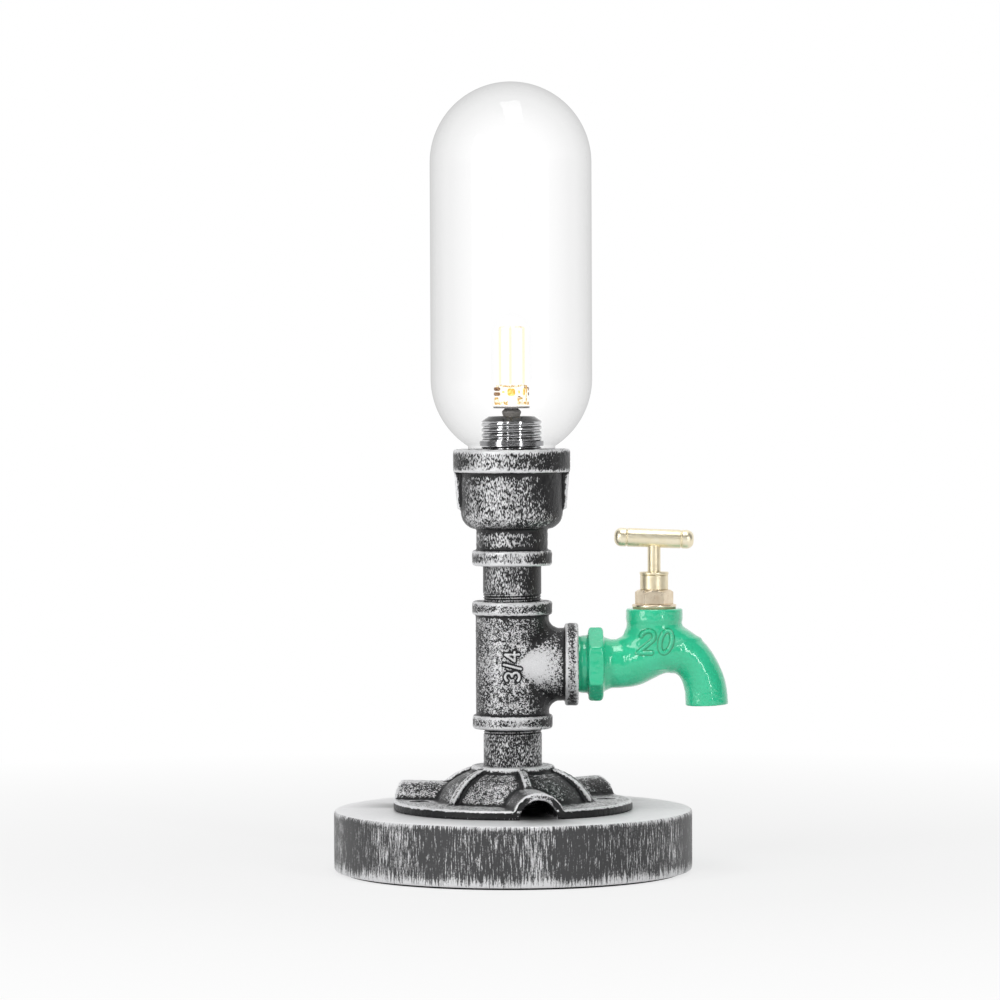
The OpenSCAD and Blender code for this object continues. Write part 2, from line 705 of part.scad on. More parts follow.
module reducer() {
    neck_r0 = red_neck_d / 2;
    bell_r = red_bell_d / 2;
    rim_r = red_rim_d / 2;
    bowl = [for (i = [0:bowl_steps]) let (a = 90 * i / bowl_steps)
        [neck_r0 + (bell_r - neck_r0) * sin(a), cup_z0 - red_bowl_h * cos(a)]];
    color([0.37, 0.37, 0.38]) difference() {
        union() {
            band(band_d / 2, red_z0, red_neck_z0);
            rotate_extrude() polygon(concat([[0, red_neck_z0 - over], [neck_r0, red_neck_z0 - over]], bowl,
                [[bell_r, red_rim_z0 + over], [0, red_rim_z0 + over]]));
            band(rim_r, red_rim_z0, red_z1);
            for (a = [0, 180]) rotate([90, 0, a]) linear_extrude(red_rib_w, center = true) polygon([
                [neck_r0, cup_z0 - red_rib_low], [bell_r + red_rib_low, cup_z0 + red_rib_low],
                [bell_r + red_rib_high, red_rim_z0 + over], [neck_r0, red_rim_z0 + over]]);
        }
        translate([0, 0, red_z0 - over]) cylinder(r = pipe_r + screw_fit, h = thread_l + over);
        translate([0, 0, red_z0]) cylinder(r = way_r, h = cup_z0 - red_z0 + over);
        translate([0, 0, cup_z0]) cylinder(d = cup_d, h = red_z1 - cup_z0 + over);
        translate([0, 0, mouth_z0]) cylinder(d = mouth_d, h = mouth_depth + over);
    }
}

module carrier_disc() {
    color([0.7, 0.7, 0.72]) translate([0, 0, cup_z0]) difference() {
        cylinder(d = cup_d - 2 * loose_fit, h = disc_t);
        translate([0, 0, -over]) cylinder(r = tube_d / 2 + screw_fit, h = disc_t + 2 * over);
    }
}

module holder_tube() {
    color([0.75, 0.75, 0.77]) pipe(tube_d / 2, tube_bore_d / 2, cup_z0 - tube_tail, shell_z0 + shell_floor);
}

module tube_nuts() {
    color([0.72, 0.72, 0.74]) for (z = [cup_z0 - nut_h, cup_z0 + disc_t])
        translate([0, 0, z]) difference() {
            hex_prism(nut_af, nut_h);
            translate([0, 0, -over]) cylinder(r = tube_d / 2 + screw_fit, h = nut_h + 2 * over);
        }
}

module holder_shell() {
    r = shell_d / 2;
    top_r = shell_top_d / 2;
    inner_r = r - shell_wall;
    hole_r = tube_d / 2 + screw_fit;
    floor_z = shell_z0 + shell_floor;
    color([0.3, 0.3, 0.31]) rotate_extrude() polygon([
        [hole_r, shell_z0], [r, shell_z0], [r, shell_z1], [top_r, shell_top_z],
        [top_r - shell_wall, shell_top_z], [top_r - shell_wall, shell_z1 - shell_wall],
        [inner_r, shell_z1 - shell_wall], [inner_r, floor_z], [hole_r, floor_z]]);
}

module holder_ring() {
    z0 = shell_z0 + ring_rise;
    color([0.06, 0.06, 0.06]) pipe(ring_d / 2, shell_d / 2 + screw_fit, z0, z0 + ring_h);
}

module contact_places() {
    for (s = [-1, 1]) translate([0, s * pin_pitch / 2, 0]) children();
}

module holder_insert() {
    foot_r = shell_d / 2 - shell_wall - screw_fit;
    neck = shell_top_d / 2 - shell_wall - screw_fit;
    color([0.88, 0.86, 0.8]) difference() {
        rotate_extrude() polygon([
            [0, insert_z0], [foot_r, insert_z0], [foot_r, insert_z0 + insert_foot_h],
            [neck, insert_z0 + insert_foot_h], [neck, insert_top_z], [0, insert_top_z]]);
        contact_places() translate([0, 0, insert_z0 - over])
            cylinder(d = contact_d + 2 * screw_fit, h = contact_z1 - insert_z0 + over);
        contact_places() translate([0, 0, contact_z1 - over])
            cylinder(d = pin_d + 2 * pin_fit, h = 3 * over);
    }
}

module holder_contacts() {
    color([0.8, 0.62, 0.3]) contact_places()
        pipe(contact_d / 2, pin_d / 2 + pin_fit, contact_z0, contact_z1);
}

module seal_ring() {
    inner_r = neck_r - glass_wall;
    outer_r = mouth_d / 2 - screw_fit;
    collar_r = neck_r + loose_fit;
    color([0.08, 0.08, 0.08]) rotate_extrude() polygon([
        [inner_r, mouth_z0], [outer_r, mouth_z0], [outer_r, red_z1 - over], [collar_r, red_z1 - over],
        [collar_r, mouth_z0 + seal_t], [inner_r, mouth_z0 + seal_t]]);
}

// Half profile of the capsule, drawn d inside its outer face
function glass_profile(d) = let (
    r = glass_r - d, n = neck_r - d,
    top_z = glass_z1 - glass_r, low_z = glass_z0 + neck_h + sqrt(pow(glass_r, 2) - pow(neck_r, 2)),
    a = -acos(n / r)) concat(
        [[n, glass_z0]], arc(0, low_z, r, a, 0, glass_steps), arc(0, top_z, r, 0, 90, glass_steps));

module glass_shade() {
    inside = glass_profile(glass_wall);
    color([0.85, 0.93, 0.95, 0.35])
        rotate_extrude() polygon(concat(glass_profile(0), [for (i = [len(inside) - 1:-1:0]) inside[i]]));
}

module bulb_pins() {
    color([0.8, 0.8, 0.82]) contact_places()
        translate([0, 0, plug_z0 - pin_h]) cylinder(d = pin_d, h = pin_h);
}

module bulb_plug() {
    flange_z1 = plug_z1 + plug_flange_h;
    color([0.55, 0.55, 0.56]) rotate_extrude() polygon(concat(
        [[0, plug_z0]], [for (s = plug_shares) [s[0] * plug_d / 2, plug_z0 + s[1] * plug_h]],
        [[board_r, plug_z1], [board_r, flange_z1], [0, flange_z1]]));
}

module lower_board() {
    color([0.75, 0.6, 0.25]) translate([0, 0, board_z0]) cylinder(r = board_r, h = board_t);
}

module driver_parts() {
    color([0.55, 0.35, 0.15]) {
        pipe(board_r, board_r - board_t, board_z0 + board_t, board_z0 + board_t + board_gap / 4);
        for (b = block_shares) rotate([0, 0, b[1]]) {
            s = b[2] * board_r;
            x0 = b[0] * board_r - s / 2 - board_t / 2;
            translate([x0, -s / 2, board_z0 + board_t]) cube([s, s, board_gap]);
        }
    }
}

module upper_board() {
    color([0.8, 0.66, 0.3]) translate([0, 0, board2_z0]) cylinder(r = board_r, h = board_t);
}

module led_sticks() {
    color([1, 0.85, 0.5]) for (i = [0:stick_count - 1]) rotate([0, 0, stick_angle + 360 * i / stick_count])
        translate([stick_circle_r, 0, stick_z0]) cylinder(d = stick_d, h = stick_l);
}

module bulb_envelope() {
    r = bulb_d / 2;
    top = bulb_z0 + bulb_h;
    outside = arc(0, top - r, r, 0, 90, dome_steps);
    inside = arc(0, top - r, r - bulb_wall, 90, 0, dome_steps);
    color([0.9, 0.95, 1, 0.35]) rotate_extrude()
        polygon(concat([[r - bulb_wall, bulb_z0], [r, bulb_z0]], outside, inside));
}

// Rings of the tap's body, turned from their shares into sizes
function neck_ring(s) = loft_ring(
    hex_x1 + s[0] * tap_reach, branch_z + s[1] * tap_drop, s[2], s[3] * tap_neck_r, s[4] * tap_neck_r);
function spout_ring(s) = loft_ring(
    hex_x1 + s[0] * tap_reach, branch_z + s[1] * tap_drop, s[2], s[3] * spout_d / 2, s[4] * spout_d / 2);
function boss_ring(s) = loft_ring(
    hex_x1 + s[0] * tap_reach, branch_z + s[1] * tap_rise, 90, s[2] * boss_r, s[3] * boss_r);

module tap_skin() {
    skin(concat([for (s = neck_shares) neck_ring(s)], [for (s = spout_shares) spout_ring(s)]));
    skin([for (s = boss_shares) boss_ring(s)]);
}

module tap_hexagon() {
    corner_r = tap_hex_af / 2 / cos(30);
    intersection() {
        along_x(hex_x0, branch_z) hex_prism(tap_hex_af, tap_hex_w);
        along_x(hex_x0, branch_z) rotate_extrude() polygon([
            [0, 0], [corner_r - hex_chamfer, 0], [corner_r, hex_chamfer / 2],
            [corner_r, tap_hex_w - hex_chamfer / 2], [corner_r - hex_chamfer, tap_hex_w], [0, tap_hex_w]]);
    }
}

// Waterway: along the inlet to the seat, up through it, and from the chamber down the spout
module waterway() {
    r = water_d / 2;
    corners = [for (s = water_shares) [hex_x1 + s[0] * tap_reach, 0, branch_z + s[1] * tap_drop]];
    along_x(0, branch_z) cylinder(r = inlet_way_r, h = boss_x + seat_bore_r);
    translate([boss_x, 0, branch_z]) cylinder(r = seat_bore_r, h = seat_z - branch_z + over);
    translate([boss_x, 0, seat_z]) cylinder(r = chamber_r, h = boss_z1 - seat_z + over);
    translate([boss_x, 0, boss_z1 - bonnet_thread_h])
        cylinder(r = bonnet_thread_r, h = bonnet_thread_h + over);
    for (i = [0:len(corners) - 2]) {
        d = corners[i + 1] - corners[i];
        translate(corners[i]) rotate([0, atan2(d[0], d[2]), 0]) cylinder(r = r, h = norm(d));
        if (i > 0) translate(corners[i]) sphere(r = elbow_share * r);
    }
}

module tap_body() {
    spigot_x0 = branch_reach - thread_l;
    color([0.1, 0.68, 0.44]) difference() {
        union() {
            along_x(spigot_x0, branch_z) cylinder(r = pipe_r, h = hex_x0 - spigot_x0 + over);
            tap_hexagon();
            tap_skin();
            translate([boss_x, 0, boss_z1 - boss_ring_h]) cylinder(r = boss_r, h = boss_ring_h);
        }
        waterway();
    }
}

module bonnet_gasket() {
    color([0.75, 0.65, 0.4]) translate([boss_x, 0, 0])
        pipe(gasket_r, bonnet_thread_r, boss_z1, boss_z1 + gasket_t);
}

// The bonnet screws into the boss, guides the spindle's thread and ends in the stuffing box
module bonnet() {
    color([0.85, 0.72, 0.42]) translate([boss_x, 0, 0]) difference() {
        union() {
            translate([0, 0, boss_z1 - bonnet_thread_h + over])
                cylinder(r = bonnet_thread_r - screw_fit, h = bonnet_thread_h);
            translate([0, 0, bonnet_z0]) cylinder(d = bonnet_flange_d, h = flange_step_h);
            intersection() {
                translate([0, 0, bonnet_z0]) hex_prism(bonnet_af, bonnet_hex_z1 - bonnet_z0);
                rotate_extrude() polygon(bar_profile(
                    bonnet_af / 2 / cos(30), bonnet_z0, bonnet_hex_z1, flange_step_h));
            }
            translate([0, 0, bonnet_hex_z1 - over])
                cylinder(r = stuffing_r + stuffing_wall, h = gland_h - gland_roof + over);
        }
        translate([0, 0, boss_z1 - bonnet_thread_h])
            cylinder(r = spindle_thread_r + screw_fit, h = thread_top_z - boss_z1 + bonnet_thread_h);
        translate([0, 0, boss_z1]) cylinder(r = spindle_r + screw_fit, h = bonnet_z0);
        translate([0, 0, bonnet_hex_z1]) cylinder(r = stuffing_r, h = gland_h);
    }
}

module gland_packing() {
    color([0.85, 0.83, 0.75]) translate([boss_x, 0, 0]) pipe(
        stuffing_r - screw_fit, spindle_r + screw_fit, bonnet_hex_z1, gland_z1 - gland_roof - screw_fit);
}

module gland_nut() {
    nut = bar_profile(gland_d / 2, bonnet_hex_z1 + screw_fit, gland_z1, gland_edge);
    collar = bar_profile(gland_d / 2 + gland_lip, gland_z1, gland_z1 + gland_collar_h, gland_edge);
    color([0.87, 0.74, 0.44]) translate([boss_x, 0, 0]) difference() {
        rotate_extrude() polygon(concat(
            [for (i = [0:len(nut) - 2]) nut[i]], [for (i = [1:len(collar) - 1]) collar[i]]));
        translate([0, 0, bonnet_hex_z1 - over])
            cylinder(r = stuffing_r + stuffing_wall + screw_fit, h = gland_h - gland_roof + over);
        translate([0, 0, bonnet_hex_z1]) cylinder(r = spindle_r + screw_fit, h = bonnet_z0);
    }
}

module spindle() {
    color([0.88, 0.76, 0.46]) translate([boss_x, 0, 0]) difference() {
        union() {
            translate([0, 0, spindle_z0]) cylinder(r = spindle_thread_r, h = spindle_thread_z1 - spindle_z0);
            translate([0, 0, spindle_z0])
                cylinder(r = spindle_r, h = bar_z - bar_d / 2 + bar_socket - spindle_z0);
        }
        translate([0, 0, spindle_z0 - over])
            cylinder(r = jumper_stem_r + screw_fit, h = jumper_stem_h + 2 * over);
    }
}

// Half profile of the handle bar along its own axis, with a groove near each end
function bar_line() = let (r = bar_d / 2, half = bar_l / 2, g = bar_groove_w / 2) concat(
    [[0, -half]], arc(r - bar_end_r, -half + bar_end_r, bar_end_r, -90, 0, edge_steps),
    [[r, -bar_groove_x - g], [r - bar_groove_t, -bar_groove_x], [r, -bar_groove_x + g],
     [r, bar_groove_x - g], [r - bar_groove_t, bar_groove_x], [r, bar_groove_x + g]],
    arc(r - bar_end_r, half - bar_end_r, bar_end_r, 0, 90, edge_steps), [[0, half]]);

module handle_bar() {
    color([0.88, 0.76, 0.46]) difference() {
        along_x(boss_x, bar_z) rotate_extrude() polygon(bar_line());
        translate([boss_x, 0, bar_z - bar_d])
            cylinder(r = spindle_r + screw_fit, h = bar_d / 2 + bar_socket + screw_fit);
    }
}

module jumper_valve() {
    color([0.8, 0.66, 0.36]) translate([boss_x, 0, 0]) {
        translate([0, 0, plate_z0]) cylinder(r = jumper_plate_r, h = jumper_plate_h);
        translate([0, 0, plate_z0]) cylinder(r = jumper_stem_r, h = jumper_plate_h + jumper_stem_h);
        translate([0, 0, washer_z0 - washer_nut_h])
            cylinder(r = jumper_tail_r, h = washer_nut_h + washer_h + over);
    }
}

module valve_washer() {
    color([0.07, 0.07, 0.07]) translate([boss_x, 0, 0])
        pipe(washer_r, jumper_tail_r + screw_fit, washer_z0, plate_z0);
}

module washer_nut() {
    color([0.8, 0.66, 0.36]) translate([boss_x, 0, washer_z0 - washer_nut_h]) difference() {
        hex_prism(washer_nut_af, washer_nut_h);
        translate([0, 0, -over]) cylinder(r = jumper_tail_r + screw_fit, h = washer_nut_h + 2 * over);
    }
}

felt_pad();
base_disc();
inlet_bush();
terminal_block();
terminal_screws();
live_wire();
neutral_wire();
flange();
flange_screws();
lower_nipple();
tee();
upper_nipple();
reducer();
carrier_disc();
holder_tube();
tube_nuts();
holder_shell();
holder_ring();
holder_insert();
holder_contacts();
seal_ring();
glass_shade();
bulb_pins();
bulb_plug();
lower_board();
driver_parts();
upper_board();
led_sticks();
bulb_envelope();
tap_body();
bonnet_gasket();
bonnet();
gland_packing();
gland_nut();
spindle();
handle_bar();
jumper_valve();
valve_washer();
washer_nut();
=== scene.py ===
"""Looks of a table lamp of cast pipe fittings on a round wooden base, with a capsule glass and a bib tap.

Lengths are in millimetres until a mesh is made, where one factor turns them into metres.
"""

import math

import bmesh
import bpy
import numpy as np
from mathutils import Matrix, Vector, noise
from mathutils.bvhtree import BVHTree
from mathutils.kdtree import KDTree


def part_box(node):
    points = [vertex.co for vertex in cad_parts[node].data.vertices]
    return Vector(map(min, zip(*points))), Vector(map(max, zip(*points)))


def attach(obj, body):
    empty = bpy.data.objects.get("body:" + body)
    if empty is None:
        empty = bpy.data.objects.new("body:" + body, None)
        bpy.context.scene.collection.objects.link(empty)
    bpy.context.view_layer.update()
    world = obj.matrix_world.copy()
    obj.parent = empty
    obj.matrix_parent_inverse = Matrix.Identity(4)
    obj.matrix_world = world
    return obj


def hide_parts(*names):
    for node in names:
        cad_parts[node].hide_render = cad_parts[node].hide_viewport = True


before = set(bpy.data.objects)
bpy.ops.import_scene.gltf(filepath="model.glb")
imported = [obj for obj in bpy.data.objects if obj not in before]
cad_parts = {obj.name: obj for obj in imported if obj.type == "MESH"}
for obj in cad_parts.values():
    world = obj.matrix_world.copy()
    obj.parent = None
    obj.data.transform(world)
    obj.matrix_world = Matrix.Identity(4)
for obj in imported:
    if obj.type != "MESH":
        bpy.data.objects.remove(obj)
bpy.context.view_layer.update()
bpy.context.scene.view_settings.view_transform = "Standard"

MM = 0.001
FINE = 144  # segments round a turned piece


# Sizes read from the frame

def level(node, top=False):
    """Lowest or highest height of a node in millimetres."""
    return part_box(node)[1 if top else 0].z / MM


def half_width(node, axis=1):
    """Half the size of a node across the given axis in millimetres."""
    low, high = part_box(node)
    return (high[axis] - low[axis]) / 2 / MM


def middle(node, axis):
    """Middle of a node along the given axis in millimetres."""
    low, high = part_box(node)
    return (high[axis] + low[axis]) / 2 / MM


BASE_R = half_width("base_disc")
BASE_Z0 = level("base_disc")
BASE_Z1 = level("base_disc", top=True)
PIPE_R = half_width("lower_nipple")
PIPE_WALL = 2.4
THREAD_PITCH = 1.15
TEE_Z0 = level("tee")
TEE_Z1 = level("tee", top=True)
TEE_R = 15.3
BRANCH_Z = (TEE_Z0 + TEE_Z1) / 2
ARCH_TURN = 77  # degrees clockwise from +X to the middle of the front cable arch
BOSS_X = middle("spindle", 0)
BOSS_Z1 = level("bonnet_gasket")


# Meshes

def linked(name, data):
    """New object in the scene from a mesh, a lamp or a camera."""
    obj = bpy.data.objects.new(name, data)
    bpy.context.scene.collection.objects.link(obj)
    return obj


def mesh_from(name, bm):
    """New mesh from a working mesh, which ends here."""
    mesh = bpy.data.meshes.new(name)
    bm.to_mesh(mesh)
    bm.free()
    return mesh


def smooth(mesh):
    """Shades every face of a mesh smoothly."""
    mesh.polygons.foreach_set("use_smooth", [True] * len(mesh.polygons))
    return mesh


def piece(name, verts, faces):
    """New object from points in millimetres and faces."""
    mesh = bpy.data.meshes.new(name)
    mesh.from_pydata([tuple(v) for v in np.asarray(verts, float) * MM], [], [list(f) for f in faces])
    mesh.validate()
    mesh.update()
    return linked(name, smooth(mesh))


def arc(cx, cy, r, a0, a1, steps):
    """Points of an arc, with its angles in degrees."""
    angles = [math.radians(a0 + (a1 - a0) * i / steps) for i in range(steps + 1)]
    return [(cx + r * math.cos(a), cy + r * math.sin(a)) for a in angles]


def rounded(corners, steps=4):
    """A line through corners given as (r, z, radius), with each corner rounded by its radius."""
    out = []
    n = len(corners)
    for i, (x, y, radius) in enumerate(corners):
        p = Vector((x, y))
        if radius <= 0:
            out.append((x, y))
            continue
        before = Vector(corners[i - 1][:2]) - p
        after = Vector(corners[(i + 1) % n][:2]) - p
        half = before.angle(after) / 2
        reach = min(radius / math.tan(half), before.length * 0.49, after.length * 0.49)
        a, b = p + before.normalized() * reach, p + after.normalized() * reach
        for k in range(steps + 1):
            t = k / steps
            q = a * (1 - t) ** 2 + p * (2 * t * (1 - t)) + b * t ** 2
            out.append((q.x, q.y))
    return out


def dense(line, step, closed=False):
    """The same line with more points, none further apart than step."""
    out = []
    pairs = list(zip(line, line[1:] + ([line[0]] if closed else [])))
    for (x0, y0), (x1, y1) in pairs:
        n = max(1, math.ceil(math.hypot(x1 - x0, y1 - y0) / step))
        out += [(x0 + (x1 - x0) * i / n, y0 + (y1 - y0) * i / n) for i in range(n)]
    return out if closed else out + [line[-1]]


def turned(name, line, segments=FINE, closed=True, shape=None, place=None):
    """Piece turned about Z from a half profile of (r, z).

    shape(r, z, angles) gives other radii, and place moves the piece."""
    verts, rings = [], []
    angles = np.arange(segments) * 2 * math.pi / segments
    for r, z in line:
        if r < 1e-6:
            rings.append([len(verts)])
            verts.append((0, 0, z))
            continue
        radii = np.full(segments, r) if shape is None else shape(r, z, angles)
        rings.append(list(range(len(verts), len(verts) + segments)))
        verts += list(zip(radii * np.cos(angles), radii * np.sin(angles), np.full(segments, z)))
    pairs = list(zip(rings, rings[1:]))
    if closed and len(rings[0]) > 1 and len(rings[-1]) > 1:
        pairs.append((rings[-1], rings[0]))
    faces = []
    for low, high in pairs:
        if len(low) == 1 and len(high) == 1:
            continue
        for j in range(segments):
            k = (j + 1) % segments
            if len(low) == 1:
                faces.append((low[0], high[k], high[j]))
            elif len(high) == 1:
                faces.append((low[j], low[k], high[0]))
            else:
                faces.append((low[j], low[k], high[k], high[j]))
    verts = np.array(verts, float)
    if place is not None:
        verts = np.array([tuple(place @ Vector(v)) for v in verts])
    obj = piece(name, verts, faces)
    outward(obj)
    return obj


def outward(obj):
    """Turns every face of a closed mesh outwards."""
    bm = bmesh.new()
    bm.from_mesh(obj.data)
    bmesh.ops.recalc_face_normals(bm, faces=bm.faces)
    bm.to_mesh(obj.data)
    bm.free()


def lofted(name, rings):
    """Closed piece over rings with as many points each."""
    n = len(rings[0])
    verts = [p for ring in rings for p in ring]
    faces = []
    for i in range(len(rings) - 1):
        for j in range(n):
            k = (j + 1) % n
            faces.append((i * n + j, i * n + k, (i + 1) * n + k, (i + 1) * n + j))
    faces.append(tuple(reversed(range(n))))
    faces.append(tuple(range((len(rings) - 1) * n, len(rings) * n)))
    obj = piece(name, verts, faces)
    outward(obj)
    return obj


def tube(name, points, r, sides):
    """Round bar along points, with domed ends."""
    points = [Vector(p) for p in points]
    stations = []
    side = None
    for i, p in enumerate(points):
        along = (points[min(i + 1, len(points) - 1)] - points[max(i - 1, 0)]).normalized()
        if side is None:
            side = along.orthogonal().normalized()
        side = (side - along * side.dot(along)).normalized()
        stations.append((p, along, side, along.cross(side)))

    def ring(station, degrees):
        """Ring that stands so far round the dome from a station, or on the station itself at 0."""
        p, along, side, up = station
        q = math.radians(degrees)
        middle_of = p + along * r * math.sin(q)
        return [tuple(middle_of + (side * math.cos(a) + up * math.sin(a)) * (r * math.cos(q)))
                for a in (2 * math.pi * j / sides for j in range(sides))]

    start = [ring(stations[0], t) for t in (-75, -45, -20)]
    end = [ring(stations[-1], t) for t in (20, 45, 75)]
    return lofted(name, start + [ring(station, 0) for station in stations] + end)


def joined(name, objects):
    """One object from several."""
    bm = bmesh.new()
    for o in objects:
        bm.from_mesh(o.data)
        bpy.data.objects.remove(o)
    return linked(name, smooth(mesh_from(name, bm)))


def copy_of(node):
    """Welded copy of a CAD node's mesh."""
    bm = bmesh.new()
    bm.from_mesh(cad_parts[node].data)
    bmesh.ops.remove_doubles(bm, verts=bm.verts, dist=0.002 * MM)
    name = node + "_copy"
    return linked(name, mesh_from(name, bm))


def applied(obj):
    """Replaces an object's mesh by what its modifiers make of it."""
    bpy.context.view_layer.update()
    graph = bpy.context.evaluated_depsgraph_get()
    mesh = bpy.data.meshes.new_from_object(obj.evaluated_get(graph))
    obj.modifiers.clear()
    obj.data = smooth(mesh)
    return obj


def remeshed(obj, voxel):
    """Rebuilds a closed mesh, or overlapping closed meshes, as one even skin."""
    m = obj.modifiers.new("even", "REMESH")
    m.mode = "VOXEL"
    m.voxel_size = voxel * MM
    m.adaptivity = 0
    return applied(obj)


def cut(obj, tool):
    """Takes one closed mesh out of another."""
    m = obj.modifiers.new("cut", "BOOLEAN")
    m.operation = "DIFFERENCE"
    m.solver = "EXACT"
    m.object = tool
    applied(obj)
    bpy.data.objects.remove(tool)
    return obj


def points_of(obj, what="co"):
    """Place or normal of each point of a mesh."""
    co = np.zeros(len(obj.data.vertices) * 3)
    obj.data.vertices.foreach_get(what, co)
    return co.reshape(-1, 3)


def set_points(obj, co):
    obj.data.vertices.foreach_set("co", co.reshape(-1))
    obj.data.update()


def averaged(co, edges, steps, weight=0.5):
    """Points moved towards the mean of their neighbours, several times."""
    a, b = edges[:, 0], edges[:, 1]
    count = np.bincount(a, minlength=len(co)) + np.bincount(b, minlength=len(co))
    count = np.maximum(count, 1)[:, None]
    for _ in range(steps):
        total = np.zeros_like(co)
        for axis in range(co.shape[1]):
            total[:, axis] = np.bincount(a, co[b, axis], len(co)) + np.bincount(b, co[a, axis], len(co))
        co = co + (total / count - co) * weight
    return co


def edges_of(obj):
    e = np.zeros(len(obj.data.edges) * 2, np.int64)
    obj.data.edges.foreach_get("vertices", e)
    return e.reshape(-1, 2)


def softened(obj, steps):
    """Rounds the edges of an even mesh while its flat and round faces stay where they are."""
    edges = edges_of(obj)
    co = points_of(obj)
    for _ in range(steps):
        co = averaged(co, edges, 1, 0.62)
        co = averaged(co, edges, 1, -0.5)
    set_points(obj, co)
    return obj


def lumpy(obj, height, size, seed=0, octaves=2):
    """Moves points along their normals by smooth noise, as the skin of a sand casting."""
    co, normals = points_of(obj), points_of(obj, "normal")
    shift = Vector((13.1 * (seed + 1), 7.7 * seed, 3.3))
    values = np.array([noise.fractal(Vector(p) / (size * MM) + shift, 0.6, 2.1, octaves) for p in co])
    set_points(obj, co + normals * (values * height * MM)[:, None])
    return obj


def store(obj, name, values):
    """Keeps one number for each point of a mesh, for its material."""
    layer = obj.data.attributes.new(name, "FLOAT", "POINT")
    layer.data.foreach_set("value", values.astype(np.float32))


def mark_ridges(obj, steps=4, marks=(), mark_r=0.6, mark_gain=1.0, wide_steps=0, wear_and_highlight=()):
    """Stores how far each point stands out of its surroundings, for the wear of the paint and for painted
    light and shade.

    Points on raised marks count as high, and those next to them as low, a painted shadow along the marks.
    With wide_steps, the same is stored for broad forms, such as bands and deep corners. Spots of painted
    highlight are (place, radius, amount)."""
    edges = edges_of(obj)
    co, normals = points_of(obj), points_of(obj, "normal")
    if wide_steps:
        wide = ((co - averaged(co, edges, wide_steps)) * normals).sum(1) / MM
        # Spots of painted highlight raise the broad value.
        for place, radius, amount in wear_and_highlight:
            away = np.linalg.norm(co / MM - np.array(place), axis=1) / radius
            wide += amount * np.exp(-away ** 2)
        store(obj, "broad", np.clip(wide, -1, 0.5))
    out = ((co - averaged(co, edges, steps)) * normals).sum(1) / MM
    out = averaged(out[:, None], edges, 1)[:, 0]
    if len(marks):
        near = KDTree(len(marks))
        for i, p in enumerate(marks):
            near.insert(p * MM, i)
        near.balance()
        away = np.array([near.find(p)[2] for p in co]) / MM
        # A low band next to each mark, a painted shadow along the strokes.
        beside = np.exp(-((away - 1.9 * mark_r) / (0.5 * mark_r)) ** 2)
        out += mark_gain * (0.3 * np.exp(-(away / mark_r) ** 2) - 0.45 * beside)
    store(obj, "ridge", out)
    return obj


def dress(obj, material, body, *nodes):
    """Gives a piece its material and its body, and hides the nodes that it stands for."""
    obj.data.materials.clear()
    obj.data.materials.append(material)
    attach(obj, body)
    if nodes:
        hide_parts(*nodes)
    return obj


# Materials

